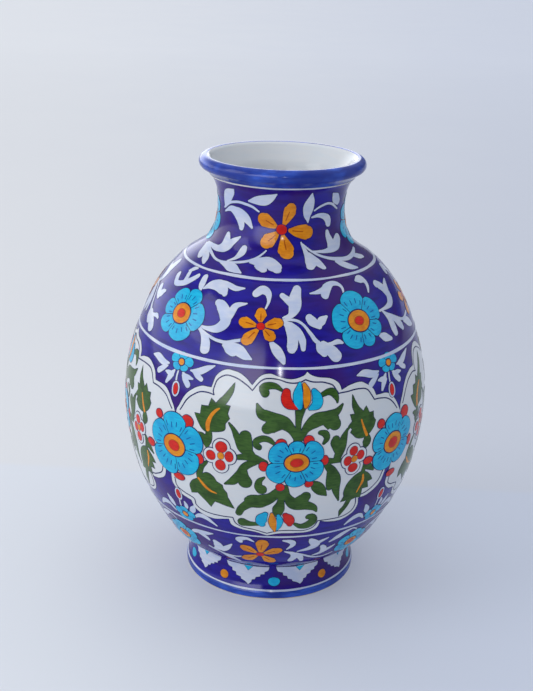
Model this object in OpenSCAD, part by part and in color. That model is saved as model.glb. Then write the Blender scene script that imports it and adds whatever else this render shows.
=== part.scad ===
// Hand-built glazed pottery vase: a thrown foot ring, two press-moulded bowls, a thrown neck collar
// and a rolled rim, luted together with slip. The origin is the centre of the resting face, +Z up.

/* [Foot] */
// Outer radius of the foot ring where it rests
foot_r = 51; // [48:0.5:54]
// Height of the waist, where the belly sits on the foot ring
waist_z = 20; // [19:0.5:21]
// Outer radius of the waist
waist_r = 48; // [47:0.5:49]
// Height of the rounded band round the bottom of the foot ring
foot_band_h = 5; // [4:0.5:6]
// Thickness of the foot ring at its top
foot_wall = 8; // [7:0.5:9]

/* [Belly] */
// Outer radius at the widest ring
belly_r = 87; // [85:0.5:89]
// Height of the widest ring, where the two bowls meet
belly_z = 108; // [106:1:110]
// Thickness of the bowls
bowl_wall = 6; // [5:0.5:7]
// Thickness of the floor
floor_t = 8; // [7:0.5:9]

/* [Neck] */
// Height at which the neck collar sits on the upper bowl
neck_z = 194; // [192:0.5:196]
// Outer radius at the narrowest ring of the neck
throat_r = 35; // [34:0.5:36]
// Thickness of the neck collar
neck_wall = 5; // [4.5:0.5:5.5]

/* [Rim] */
// Height at which the rolled rim sits on the neck collar
rim_z = 240; // [239.5:0.5:240.5]
// Outer radius of the rolled rim
rim_r = 46; // [45.5:0.5:46.5]
// Radius of the roll itself
roll_r = 3.6; // [3.2:0.1:4]
// Height of the whole vase
vase_h = 250; // [249.5:0.5:250.5]

/* [Joints] */
// Thickness of the slip bed in each joint
slip_t = 1; // [0.6:0.1:1.4]
// Radius of the scored keys that the slip fills
key_r = 0.7; // [0.5:0.1:0.8]
// Radius of the bead of slip smoothed over each seam inside
bead_r = 2.5; // [2:0.25:3]

/* [Hidden] */
$fn = 180;

// Colours of the glazes and of the dried slip
COBALT = [0.13, 0.11, 0.45];
RIM_BLUE = [0.16, 0.25, 0.62];
SLIP = [0.85, 0.83, 0.78];

// Shape of the outside, as [radius, height] from the waist to the underside of the roll
roll_mid = [rim_r - roll_r, vase_h - roll_r];
roll_from = -50;
roll_to = 145;
OUTSIDE = [
    [waist_r, waist_z],
    [60, 30],
    [69.5, 45],
    [79, 65],
    [84.5, 85],
    [belly_r, belly_z],
    [85.5, 132],
    [80, 152],
    [72.5, 170],
    [63.5, 184],
    [52, 195],
    [40.3, 204],
    [36.2, 213],
    [throat_r, 224],
    [36.6, 234],
    [41, 241],
    roll_mid + roll_r * [cos(roll_from), sin(roll_from)]
];

// Steps along the curved walls, in height
wall_step = 2;
arc_step = 10;
// Height at which the inside stops following the outside and rounds into the floor
hollow_z = 45;
floor_corner_r = 38;

// Slope of the outside at a key point, from its neighbours
function slope(i) =
    let (a = OUTSIDE[max(i - 1, 0)], b = OUTSIDE[min(i + 1, len(OUTSIDE) - 1)])
    (b.x - a.x) / (b.y - a.y);

// Radius between two key points: a cubic with the slopes at both ends
function cubic(a, b, ma, mb, t, h) =
    a * (2 * t^3 - 3 * t^2 + 1) + h * ma * (t^3 - 2 * t^2 + t)
    + b * (3 * t^2 - 2 * t^3) + h * mb * (t^3 - t^2);

function span(z, i = 0) = i >= len(OUTSIDE) - 2 || z <= OUTSIDE[i + 1].y ? i : span(z, i + 1);

function outer_r(z) =
    let (i = span(z), a = OUTSIDE[i], b = OUTSIDE[i + 1], h = b.y - a.y)
    cubic(a.x, b.x, slope(i), slope(i + 1), (z - a.y) / h, h);

// Heights from low to high, both ends included
function heights(low, high, step = wall_step) =
    let (n = ceil((high - low) / step)) [for (i = [0:n]) low + (high - low) * i / n];

// Thickness of the wall: the bowls thin towards the neck
function wall_t(z) = lookup(z, [[belly_z, bowl_wall], [neck_z, neck_wall]]);

// The point of the inside face opposite the outside at height z
function inside_of(z) =
    let (d = 0.01, s = (outer_r(z + d) - outer_r(z - d)) / (2 * d))
    [outer_r(z), z] + wall_t(z) / sqrt(1 + s * s) * [-1, s];

function bend(a, b, c, t) = a * (1 - t)^2 + 2 * b * t * (1 - t) + c * t^2;

// The inside, from the edge of the flat floor up to the rim joint
floor_z = waist_z + floor_t;
hollow_from = inside_of(hollow_z);
hollow_slope = (outer_r(hollow_z + 1) - outer_r(hollow_z - 1)) / 2;
corner = [hollow_from.x - (hollow_from.y - floor_z) * hollow_slope, floor_z];
INSIDE = concat(
    [for (t = [0:0.1:0.9]) bend([floor_corner_r, floor_z], corner, hollow_from, t)],
    [for (z = heights(hollow_z, rim_z)) inside_of(z)]
);

function inner_r(z) = lookup(z, [for (p = INSIDE) [p.y, p.x]]);

// The section of the wall between two level cuts
function wall_section(low, high) = concat(
    [for (z = heights(low, high)) [outer_r(z), z]],
    [for (z = heights(low, high)) let (down = low + high - z) [inner_r(down), down]]
);

// The whole rolled section above a level cut
function rim_section(low) =
    let (top = roll_mid.y + roll_r * sin(roll_from))
    concat(
        [for (z = heights(low, top, 1)) [outer_r(z), z]],
        [for (a = [roll_from + arc_step:arc_step:roll_to]) roll_mid + roll_r * [cos(a), sin(a)]],
        [inside_of(rim_z), [inner_r(low), low]]
    );

foot_inner_r = waist_r - foot_wall;
foot_rest_w = 7;
foot_edge = 1;

// The foot ring: flat where it rests, a rounded band, then a hollow curve up to the waist
function foot_section(top) = concat(
    [[foot_r - foot_rest_w, 0], [foot_r - foot_edge, 0], [foot_r - 0.3, 0.3], [foot_r, foot_edge],
     [foot_r, foot_band_h - foot_edge], [foot_r - 0.5, foot_band_h]],
    [for (t = [0.1:0.1:1]) bend([foot_r - 0.5, foot_band_h], [waist_r, 0.5 * top], [waist_r, top], t)],
    [[foot_inner_r, top], [foot_inner_r, 0.7 * top], [foot_r - foot_rest_w - foot_edge, foot_edge]]
);

// A ring of slip between level faces, with keys standing into the scored grooves on both
module slip_bed(low, r_in, r_out, keys) {
    mid = low + slip_t / 2;
    pitch = (r_out - r_in) / (keys + 1);
    rotate_extrude() polygon([[r_in, low], [r_out, low], [r_out, low + slip_t], [r_in, low + slip_t]]);
    for (k = [1:keys])
        rotate_extrude() translate([r_in + k * pitch, mid]) circle(r = key_r + slip_t / 2, $fn = 32);
}

// The bead of slip smoothed over a seam on the inside face
module slip_bead(z) {
    difference() {
        rotate_extrude() translate([inner_r(z), z]) circle(r = bead_r, $fn = 32);
        rotate_extrude() polygon(wall_section(z - 2 * bead_r, z + 2 * bead_r));
    }
}

module foot_bed() {
    slip_bed(waist_z - slip_t, foot_inner_r, waist_r, 2);
}

module belly_bed() {
    z = belly_z - slip_t / 2;
    slip_bed(z, inner_r(belly_z), outer_r(belly_z), 2);
}

module neck_bed() {
    slip_bed(neck_z - slip_t / 2, inner_r(neck_z), outer_r(neck_z), 2);
}

module rim_bed() {
    slip_bed(rim_z - slip_t / 2, inner_r(rim_z), outer_r(rim_z), 1);
}

module foot_ring() {
    color(COBALT) difference() {
        rotate_extrude() polygon(foot_section(waist_z - slip_t));
        foot_bed();
    }
}

module lower_bowl() {
    top = belly_z - slip_t / 2;
    inside = [for (p = INSIDE) if (p.y < top) p];
    color(COBALT) difference() {
        rotate_extrude() polygon(concat(
            [[0, floor_z], [0, waist_z]],
            [for (z = heights(waist_z, top)) [outer_r(z), z]],
            [for (i = [len(inside) - 1:-1:0]) inside[i]]
        ));
        belly_bed();
        foot_bed();
    }
}

module upper_bowl() {
    color(COBALT) difference() {
        rotate_extrude() polygon(wall_section(belly_z + slip_t / 2, neck_z - slip_t / 2));
        belly_bed();
        neck_bed();
    }
}

module neck_collar() {
    color(COBALT) difference() {
        rotate_extrude() polygon(wall_section(neck_z + slip_t / 2, rim_z - slip_t / 2));
        neck_bed();
        rim_bed();
    }
}

module rim_roll() {
    color(RIM_BLUE) difference() {
        rotate_extrude() polygon(rim_section(rim_z + slip_t / 2));
        rim_bed();
    }
}

module foot_seam_slip() {
    color(SLIP) foot_bed();
}

module belly_seam_slip() {
    color(SLIP) {
        belly_bed();
        slip_bead(belly_z);
    }
}

module neck_seam_slip() {
    color(SLIP) {
        neck_bed();
        slip_bead(neck_z);
    }
}

module rim_seam_slip() {
    color(SLIP) rim_bed();
}

foot_ring();
lower_bowl();
upper_bowl();
neck_collar();
rim_roll();
foot_seam_slip();
belly_seam_slip();
neck_seam_slip();
rim_seam_slip();
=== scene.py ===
"""Looks of the glazed and painted pottery vase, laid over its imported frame."""

import math

import bmesh
import bpy
import numpy as np
from bpy.props import FloatProperty, FloatVectorProperty, IntProperty, PointerProperty
from bpy.types import Operator, Panel, PropertyGroup
from mathutils import Matrix, Vector
from mathutils.geometry import delaunay_2d_cdt


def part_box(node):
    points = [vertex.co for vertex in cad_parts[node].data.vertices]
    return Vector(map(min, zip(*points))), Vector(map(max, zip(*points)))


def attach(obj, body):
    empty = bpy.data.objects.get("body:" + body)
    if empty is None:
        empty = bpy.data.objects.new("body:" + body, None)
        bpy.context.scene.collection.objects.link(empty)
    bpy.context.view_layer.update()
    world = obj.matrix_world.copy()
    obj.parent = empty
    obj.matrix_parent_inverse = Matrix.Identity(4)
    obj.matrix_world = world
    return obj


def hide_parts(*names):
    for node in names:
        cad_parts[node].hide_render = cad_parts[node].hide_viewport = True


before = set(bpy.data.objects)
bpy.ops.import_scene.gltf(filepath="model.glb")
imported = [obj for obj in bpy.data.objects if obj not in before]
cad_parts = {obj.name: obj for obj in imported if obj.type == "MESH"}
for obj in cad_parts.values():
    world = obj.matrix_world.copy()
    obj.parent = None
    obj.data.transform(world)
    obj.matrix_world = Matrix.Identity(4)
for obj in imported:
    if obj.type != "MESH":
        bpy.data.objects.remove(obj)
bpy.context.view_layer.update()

bl_info = {
    "name": "Painted Pottery Vase",
    "version": (1, 0, 0),
    "blender": (4, 5, 0),
    "location": "3D View > Sidebar > Vase",
    "description": "Glazes, paints and lights a pottery vase over its packed frame",
    "category": "Add Mesh",
}

MM = 0.001

# Heights and radii of the joints, the belly and the rim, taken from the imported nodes
WAIST_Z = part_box("lower_bowl")[0].z
BELLY_Z = sum(corner.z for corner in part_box("belly_seam_slip")) / 2
NECK_Z = sum(corner.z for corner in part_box("neck_seam_slip")) / 2
RIM_Z = sum(corner.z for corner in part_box("rim_seam_slip")) / 2
TOP_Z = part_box("rim_roll")[1].z
RIM_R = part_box("rim_roll")[1].x
BELLY_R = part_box("upper_bowl")[1].x
WAIST_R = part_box("foot_seam_slip")[1].x
ROLL_R = 3.6 * MM

# The wall's outline from the waist to the roll, as (radius, height) in millimetres
WALL_POINTS = (
    (WAIST_R / MM, WAIST_Z / MM),
    (60, 30),
    (69.5, 45),
    (79, 65),
    (84.5, 85),
    (BELLY_R / MM, BELLY_Z / MM),
    (85.5, 132),
    (80, 152),
    (72.5, 170),
    (63.5, 184),
    (52, 195),
    (40.3, 204),
    (36.2, 213),
    (35, 224),
    (36.6, 234),
    (41, 241),
)
# The inside: thickness of the wall, the floor, where its rounded corner starts and bends, and where it ends
BOWL_WALL = 6 * MM
NECK_WALL = 5 * MM
FLOOR_Z = WAIST_Z + 8 * MM
FLOOR_CORNER_R = 38 * MM
FLOOR_BEND_R = 53.5 * MM
HOLLOW_Z = 45 * MM
# The underside of the floor, inside the foot ring
UNDERSIDE_R = 40 * MM

# Radius at which each painted band was laid out flat, in millimetres
NECK_FLAT_R = 40
SHOULDER_FLAT_R = 70
BELLY_FLAT_R = 87
LOWER_FLAT_R = 62
FOOT_FLAT_R = 50


# Painted marks, laid out flat in millimetres: x runs round the wall and y up along it from the waist.
# A brush mark is a line of (x, y, width) points. A cut shape is a closed line of (x, y) points,
# smooth except at the points that carry a third value.

NECK_SCROLLS = (
    ((-41.5, 233, 0.8), (-39.5, 237, 5.5), (-36, 240.5, 7), (-32, 243, 4), (-30, 244.8, 0.8)),
    ((-20.3, 239.3, 0.9), (-15, 240.2, 4.6), (-10, 241, 6.2), (-6, 242.7, 4.6), (-2.6, 245, 0.9)),
    ((-42, 232.5, 1.2), (-35, 236.3, 1.4), (-27, 237.8, 1.5), (-19, 236.6, 1.5), (-13.5, 234.3, 0.9)),
    ((-41, 230.5, 1), (-34.5, 233, 3.2), (-28, 230.8, 6.2), (-25.2, 226.2, 4.6), (-24.8, 224.3, 3.4)),
    ((-33, 233, 3), (-26, 231.8, 5), (-21, 228.8, 4.6), (-17.6, 225.2, 1.6)),
    ((-50, 210, 1.2), (-43, 209.6, 2.6), (-37.5, 209.7, 4.4), (-33.8, 212.5, 7), (-34.2, 216.5, 5),
     (-34.4, 218.6, 3.4)),
    ((-37, 209.5, 4), (-32, 212, 6), (-28.5, 216, 3.8), (-24.6, 219.2, 0.9)),
    ((-26, 204, 1), (-22.6, 207, 2.4), (-20.6, 211, 4.2), (-20.2, 213.6, 3.4)),
    ((-50, 209.5, 2.4), (-40, 206, 1.6), (-34, 203.3, 1.4), (-29, 202.6, 1.5), (-23, 203.6, 1.5),
     (-17, 205.7, 1.7), (-12, 208.7, 1.4), (-7.5, 213.5, 0.8)),
    ((-52, 209, 1), (-49, 206.5, 3.6), (-46, 203.5, 5), (-44, 200.8, 3.4)),
    ((-45, 206.5, 2), (-41, 203, 4), (-38.5, 200, 3.4), (-37, 197.9, 1.6)),
    ((-29.5, 202.3, 0.9), (-25, 201.5, 3.8), (-21.5, 200.3, 5.6), (-18.3, 198.6, 3.4), (-16.2, 197.6, 1)),
    ((-14, 205.6, 1.4), (-10, 206.2, 6.2), (-7.8, 203, 5.4), (-7, 201.6, 3.6)),
    ((-10, 208, 3), (-5, 207.4, 5.6), (-1.8, 203.5, 6.4), (-0.8, 201.6, 3.8)),
    ((16.8, 229.2, 0.8), (16.4, 233, 4.8), (16.8, 237, 7), (17.6, 241, 5), (17.7, 245.6, 0.8)),
    ((21, 235, 0.8), (26, 237.3, 1.3), (31, 238.2, 1.3), (36, 237, 1.4), (41, 234, 1)),
    ((19.5, 231.4, 0.9), (24, 232.2, 2), (28.5, 231.3, 3.4), (31.8, 229.2, 5.2), (32.2, 227.4, 4.6)),
    ((12.3, 218.5, 0.8), (14.6, 212, 3.2), (15.8, 207, 6), (14.8, 203.8, 4)),
    ((15.5, 211, 4), (18.8, 207, 4.6), (20.9, 202.6, 2.8)),
    ((13, 217.5, 0.9), (17, 214, 1.2), (21, 211, 1.4), (26, 208.4, 1.7), (32, 206.3, 2.6), (39, 205.2, 2.8),
     (46, 206.3, 2.4), (52, 208.5, 1.6)),
    ((18, 213.2, 0.8), (25, 212.4, 2), (31, 212.8, 3.8), (36, 215, 6), (39.2, 217.8, 5.4)),
    ((30, 213, 3), (32, 216.5, 5.2), (31, 220.5, 3.8), (30.8, 222.4, 2.8)),
    ((29.8, 205, 1.6), (32.5, 202.5, 4.4), (35.5, 199.6, 4.2), (38.8, 197.7, 1.2)),
    ((44, 205, 1.5), (47.5, 203.5, 4.2), (51, 202, 3)),
    ((33.5, 243.6, 1.2), (37, 240.8, 5.6), (41, 238, 4)),
)
# Petals of an open five-petalled flower: (direction in degrees, inner and outer reach, width)
NECK_PETALS = ((155, 3.6, 16, 7.6), (66, 3.4, 15.8, 7.4), (-5, 5, 19.3, 8.2), (-76, 3.6, 16.4, 9),
               (220, 3, 14.6, 8.2))
SHOULDER_PETALS = ((95, 2.4, 9.8, 6.8), (14, 2.4, 11.8, 6.2), (-43, 2.4, 10, 5.8), (230, 2.4, 12.8, 6.2),
                   (171, 2.4, 12, 6))
LOWER_PETALS = ((84, 2.4, 15, 6.4), (144, 2.4, 12, 6), (218, 2.4, 12.6, 6.4), (-52, 2.4, 11.8, 6.6),
                (29, 2.4, 12.4, 6))

# Petals of a round flower: (direction in degrees of the notch before the petal, reach of the petal)
NECK_ROUND = ((20, 15), (70, 15.4), (120, 14.6), (170, 15.2), (222, 14.8), (272, 15.4), (325, 14.8))
SHOULDER_LEFT_ROUND = ((-37, 15.8), (42, 16.4), (94, 15.4), (150, 15), (198, 16.4), (249, 15.6))
SHOULDER_RIGHT_ROUND = ((-8, 17.4), (53, 16.8), (128, 16.6), (202, 15.6), (268, 14.8), (308, 15.6))
LOWER_ROUND = ((0, 10.5), (60, 10.8), (120, 10.4), (180, 10.6), (240, 10.2), (300, 10.6))
CENTRE_ROUND = ((2, 15.6), (66, 12.2), (118, 15.8), (182, 17), (240, 14.8), (296, 15.6))
JUNCTION_ROUND = ((-4, 19.8), (58, 19.2), (122, 17.8), (194, 19.6), (276, 18.4))
SPANDREL_ROUND = ((-20, 7.6), (52, 7), (124, 7.6), (196, 6.6), (268, 6.4))

# Scrolls on the right of a round shoulder flower, from its own centre
SHOULDER_BOW = (
    ((5.5, 15, 1.6), (4.2, 18.5, 4.6), (3.2, 22.5, 4.4)),
    ((7, 16.5, 1.2), (11, 19.5, 5), (16.5, 20.3, 6.8), (21.5, 18.1, 6), (23, 16.5, 3.6)),
    ((16, 22.5, 2.6), (23, 21.9, 3), (29, 20.3, 3.2), (34.6, 21.1, 0.9)),
    ((13, -3.3, 1), (19, -3.7, 2.2), (25, -2.7, 4.6), (28.4, 1.5, 6), (27, 6, 6.6), (23.5, 9.8, 5.8),
     (21.2, 10.9, 3.8)),
    ((28.5, 2.5, 5), (30.4, 7, 4.8), (32.8, 11.1, 3.4), (38.4, 12.7, 0.9)),
    ((13.2, -3.9, 0.9), (17.5, -6.5, 2.6), (20.2, -10.5, 5), (20.8, -14.6, 5)),
    ((16, -5, 1.2), (21, -7.2, 1.4), (26, -8.7, 1.6), (31, -8.9, 1.8), (36, -7.5, 1.7), (39.5, -6.2, 1.4)),
    ((30, -10.5, 1.6), (33, -11.7, 5.2), (35.2, -13.5, 4.6)),
    ((32, -10.1, 3), (37.5, -11.9, 5.8), (41.5, -14.5, 4.2), (44.6, -16, 1)),
)
# The other bow, on the right of every second round flower
SHOULDER_BOW_OPEN = (
    ((15.8, 13.4, 1.2), (18.3, 18, 3), (17, 21.4, 4.8), (13.5, 21.8, 4.6), (10.3, 21.7, 1.4)),
    ((17.5, 2, 1.2), (24, 2, 2), (30, 3, 4.2), (33.6, 7, 6.2), (31.5, 12.5, 6.2), (28, 15.3, 5.4),
     (26.6, 15.6, 4)),
    ((33, 8, 5), (37, 12.5, 4), (42, 15.5, 0.9)),
    ((20, 1, 1.4), (23.4, -4, 4), (24.4, -9.5, 5), (25, -12.6, 3.8)),
    ((22, -1, 1.6), (27.5, -5, 3), (31.8, -9.5, 4.8), (33.6, -12.4, 3)),
    ((11.8, -10.7, 2.4), (15, -12.4, 4.8), (19.4, -14.3, 2.2)),
    ((21, 0, 1.2), (29, -4.5, 1.5), (38, -8.6, 1.7), (47, -7.2, 1.5)),
    ((38, -9.8, 2), (42.5, -11.4, 5.4), (47, -14.2, 4.2), (50, -16, 1)),
)
# Scrolls round an open shoulder flower, from its own centre
SHOULDER_SPRAY = (
    ((1.8, 9.6, 0.9), (3.2, 13.7, 1.9), (2.2, 18.2, 4.3), (-1.6, 20, 5.2), (-5.2, 17.6, 4.4)),
    ((11.4, 5, 0.9), (15.6, 6.5, 3.4), (18, 11.2, 7), (18.7, 16.4, 7), (20.2, 20.6, 5.4)),
    ((16.4, 13.2, 5), (13.2, 15.4, 3.8), (10.8, 17.1, 3.2)),
    ((10.9, 2.8, 1.2), (14.4, 0.7, 4.6), (16.2, -4.8, 5.4), (16, -10.3, 5.2), (15.8, -11.3, 4.4)),
    ((15.4, 1.2, 3.6), (19.2, -2.3, 3.6), (21, -6.8, 3.6), (21.4, -11.4, 2.2)),
    ((11.4, 3.8, 1.2), (17.4, 4, 1.4), (21.9, 1.5, 1.5), (25.4, -3.3, 1.8), (27.9, -7.3, 2.2),
     (31.4, -9.6, 1.7),
     (35.9, -9.5, 1.9), (39.4, -8.8, 2.6), (41.6, -9.6, 1.4)),
    ((30.6, -0.2, 2.8), (27.4, 2.6, 5), (25.6, 4.8, 4.4)),
    ((29.9, 0.5, 3), (32.2, 2.8, 4.6), (35.2, 5, 1.6)),
    ((28.9, -8.3, 2.5), (30.2, -11.3, 5), (31.6, -14, 3.8)),
    ((31.4, -9.3, 3.5), (34.9, -12.8, 5.6), (37.4, -16, 6)),
    ((6.1, -8.5, 2.4), (8.4, -11.8, 4.6), (10.6, -15.3, 4), (12, -18.3, 1.6)),
)
# The hook between an open flower and the round one on its right, from the open flower's centre
SHOULDER_HOOK = (
    ((50.7, 16.7, 1.4), (51.2, 19.7, 1.9), (48.9, 22.4, 2.6), (44.4, 22.9, 3.4), (39.9, 20.2, 5.6),
     (37.4, 16.7, 5)),
    ((40.4, 20.6, 4), (34.4, 19, 2.8), (28.2, 18.4, 0.8)),
)
# The forked twig over every other round flower, from its centre
SHOULDER_TWIG = (
    ((-3.4, 22, 3.4), (-7.6, 17.8, 3.8), (-13.4, 14.6, 3.6), (-19, 13.6, 3.4), (-23, 18, 3.6)),
    ((-11.8, 15.4, 3), (-12, 18.8, 3.2), (-13.4, 22.4, 3)),
    ((-15.4, 23, 1), (-12.4, 24.8, 3.2), (-9, 26, 1.2)),
)

# One white panel, its inner line and the spray that fills it. The panel's middle is at x = 7.
PANEL = (
    (18, 145.8, 1), (16, 143.8), (10, 142.2), (4, 142.8), (-3, 144.9), (-8.5, 143), (-12.5, 138.3, 1),
    (-16.5, 141.8), (-22, 144.4), (-28, 144.6), (-33, 141), (-35.3, 134.3, 1), (-42, 133.6), (-49.5, 128.5),
    (-55.5, 118.5, 1), (-58, 98, 1), (-61, 77), (-60.5, 71), (-55.5, 66.2), (-48.5, 64, 1), (-47, 59),
    (-42, 55.5), (-35, 54.3), (-25, 56.6, 1), (-23.5, 52), (-17, 49.4), (-9, 48.4), (-2, 45.8, 1), (6, 48),
    (15, 48), (23, 48.1), (28.8, 51), (30, 56.6, 1), (36, 54.9), (44, 54.4), (51, 57.6), (53.6, 63),
    (52.6, 68.4, 1), (60, 69.4), (67.5, 74.5), (70.5, 84, 1), (72, 98, 1), (78.5, 115, 1), (75, 121.5),
    (69, 127.6), (59.5, 128.5, 1), (57, 133.2), (50, 137.3), (43, 136.8), (37.4, 134.8, 1), (36, 138.6),
    (31, 141.7), (24, 142.8), (20, 144.2),
)
PANEL_LINES = (
    ((17, 141.8), (13, 140.4), (7, 140.4), (1, 142.2), (-5, 142.3), (-9, 139.8), (-12.2, 135.5)),
    ((-12.2, 135.5), (-16, 138.6), (-22, 141.2), (-28, 141.7), (-32.5, 138.4), (-34, 133), (-33.2, 130.6)),
    ((-33.2, 130.6), (-38, 131.3), (-43.5, 129.8), (-49, 125.2), (-53.2, 118.4)),
    ((17, 141.8), (21, 140.4), (27, 140.1), (32, 138.2), (34.2, 135.2), (35.5, 133.3)),
    ((35.5, 133.3), (42, 133.8), (49, 134.1), (54, 132.4), (58, 126.5)),
    ((58, 126.5), (64, 126), (70, 123.6), (75.5, 117.5)),
    ((-58.6, 76), (-58, 71), (-53, 68), (-46.3, 66), (-45.6, 61.6), (-41, 58.6), (-31, 57.7),
     (-22.3, 58.3)),
    ((-22.3, 58.3), (-21, 54.2), (-16.5, 51.4), (-9, 50.1), (-2, 47.8)),
    ((-2, 47.8), (5, 50.2), (13, 50.4), (20, 49.6), (26, 51.8), (28.4, 56.9)),
    ((28.4, 56.9), (35, 56.8), (43, 56.6), (49.4, 59), (51.6, 64), (50.6, 70)),
    ((50.6, 70), (58, 71.4), (65, 75.8), (68, 82)),
)
PANEL_LEAVES = (
    ((12.7, 109.5, 4.4), (12.8, 115, 2.8), (13, 121, 3.2), (13.8, 127.6, 5.6)),
    ((12, 110.5, 2.5), (9.6, 115.5, 4.4), (5, 119.6, 6.8), (-1, 122, 5.8), (-6.5, 124, 5.2),
     (-9, 128.8, 1)),
    ((4, 118, 4), (-0.5, 117.6, 7.2), (-3, 116.2, 5.8)),
    ((14.5, 110.5, 2.5), (17, 116, 4.2), (22, 120.2, 7.2), (29, 122, 6), (34, 124, 3.8),
     (37.6, 127.5, 0.8)),
    ((26, 120.6, 4), (31, 118.8, 9.4), (32.6, 117.4, 6.6)),
    ((0.8, 107.8, 1.2), (-2, 109.9, 2.6), (-5.5, 110.5, 3.4), (-8.7, 108.9, 3.2), (-8.6, 106.6, 3.4),
     (-7.2, 105.6, 3)),
    ((26.8, 107.4, 1.4), (28.4, 110.2, 3), (27.2, 112.8, 3.4), (24.6, 113.6, 2.2)),
    ((-4, 96.5, 3.6), (-9, 98.8, 4.6), (-13, 99.6, 4), (-19, 98.7, 2.6), (-22, 98.6, 2)),
    ((-11, 100.5, 4), (-15.5, 105, 6), (-18.6, 110, 3.8), (-20.5, 113.5, 2.4), (-23.6, 117.1, 0.7)),
    ((-12.5, 102, 4), (-14, 107.5, 6.4), (-14.4, 111.2, 6)),
    ((-9, 97.5, 4), (-14.5, 93.5, 4), (-18, 88.5, 3.4), (-20.6, 84, 4.4), (-25.6, 81.2, 0.8)),
    ((-15.5, 92, 4), (-15.4, 87.5, 6.4), (-14.3, 84.3, 7.4)),
    ((29, 96.8, 4), (33, 96.4, 2.8), (39, 95.8, 1.8)),
    ((35, 98.6, 4.5), (37, 104.5, 5), (38.1, 109.6, 3.6), (39.8, 113.6, 0.9)),
    ((34.6, 102.5, 4), (33.4, 107.2, 5.6), (33.5, 108.9, 4)),
    ((29, 94.5, 3), (32.6, 90, 5), (35.2, 84, 5.8), (36.4, 77, 3.8), (38.9, 70.2, 0.7)),
    ((31.6, 90, 4), (32.1, 84, 5), (32, 80, 3.6)),
    ((-3.9, 88, 0.9), (-6.6, 85.5, 3), (-7.1, 82, 4.2), (-5.4, 80.2, 5.6)),
    ((21.3, 84.8, 2), (24.4, 81.8, 6), (27.6, 78.2, 5.4), (30.6, 75, 0.8)),
    ((4.5, 80.5, 4), (0, 75.4, 6), (-6, 72.3, 8), (-12, 70.2, 5.6), (-16.6, 66.3, 4.2), (-18.4, 62.4, 3.6)),
    ((-5, 73.2, 6), (-10.6, 73.2, 5.8), (-12.3, 72.4, 4.8)),
    ((7.4, 82, 3), (8.6, 76, 4.2), (13, 70.8, 7), (20, 69.4, 5.8), (24.4, 67.2, 3.6), (26.5, 64.3, 0.8)),
    ((13, 72, 5), (17.3, 73.8, 6.8), (18.9, 75.6, 5.6)),
    ((5.2, 81, 3.6), (5.2, 73, 3.8), (4.4, 68, 6.4), (3.8, 64.6, 5.4)),
    ((-7.2, 55.6, 2.4), (-12, 55, 3.6), (-16.4, 55.7, 6)),
    ((14.3, 56, 1.6), (18.2, 53.8, 3.6), (22.6, 54.6, 5.4), (25.2, 57.8, 5.2), (24.2, 60.5, 4.6),
     (22, 60.9, 3.4)),
    ((3.8, 136.4, 1.2), (0.6, 138.4, 2.6), (-3.2, 138.7, 3.6), (-6.3, 137.2, 4.4), (-5.2, 134.8, 4.4)),
    ((26, 133.6, 2.2), (29.4, 134.9, 3.2), (32.4, 134.2, 4), (34.1, 131.2, 2.6), (34.4, 129, 1)),
    ((-35.4, 101.5, 1.6), (-35.6, 105, 5), (-34.4, 108.5, 3.8), (-34.6, 112, 3)),
    ((-36, 105.5, 3.5), (-38.6, 107.8, 2.8), (-40.6, 108.6, 1)),
    ((-36, 92.6, 1.6), (-39, 88.8, 2.8), (-40.6, 84.5, 3.4), (-40.6, 80.5, 3.4)),
    ((52.5, 108, 2.6), (52.6, 104, 5.2), (51.2, 100.6, 1.6)),
    ((52.6, 93, 2), (54.2, 90, 4.8), (56.8, 87.6, 3.4), (59.4, 85.3, 0.8)),
    ((52.8, 92, 1.4), (52.4, 86.4, 2.4)),
    ((39.4, 112.8, 1), (41.6, 114.8, 1.2)),
)
PANEL_TOOTHED_LEAVES = (
    ((-34, 110.6), (-37.4, 110.6), (-41, 114.6), (-43.6, 119.2, 1), (-40.2, 119.2, 1), (-39.8, 124, 1),
     (-35.6, 124.2, 1), (-34.4, 128.4, 1), (-31.6, 126.4, 1), (-27.5, 131.6), (-22, 138.8, 1),
     (-22.4, 133.6),
     (-26.4, 126.4, 1), (-23.6, 126.2, 1), (-24.6, 121.8, 1), (-23.4, 119.4, 1), (-25.6, 116.6, 1),
     (-25.8, 113),
     (-29, 111.6)),
    ((-41.6, 81.4), (-39, 84.6), (-35.4, 86), (-32.2, 84.4), (-30.6, 81.8, 1), (-27.2, 80, 1),
     (-26.6, 77.6, 1),
     (-24.6, 75, 1), (-24.2, 72.4, 1), (-20.9, 65, 1), (-26, 66.4), (-32.4, 68, 1), (-35.4, 63.4, 1),
     (-38.6, 67.2, 1), (-43, 71.2, 1), (-47.2, 70, 1), (-47.8, 74.5), (-45.6, 78.6)),
    ((43.8, 131.8, 1), (46.2, 126.4), (50, 121.6, 1), (52, 124, 1), (54.2, 120.2, 1), (57, 120.4, 1),
     (56.8, 117.2, 1), (58.3, 115, 1), (56.4, 111), (51.6, 107.4), (46, 107.6), (41.8, 111.2, 1),
     (43, 113, 1),
     (40.8, 115.2, 1), (43, 117.4, 1), (41.6, 121.2, 1), (44.4, 121, 1), (43.2, 126)),
    ((52.4, 86.2), (47, 84.6), (43, 80.6), (41.5, 75.4), (42, 72, 1), (40.6, 68.6, 1), (44.4, 69, 1),
     (43, 65, 1),
     (41.2, 62), (42, 57.2, 1), (45, 62.4), (47.6, 68.4, 1), (50.6, 69.4, 1), (53.8, 68.8, 1),
     (53.8, 74.4, 1),
     (58, 74.4, 1), (56.6, 78.6, 1), (60, 79.2, 1), (57.6, 82.6)),
)
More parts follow.
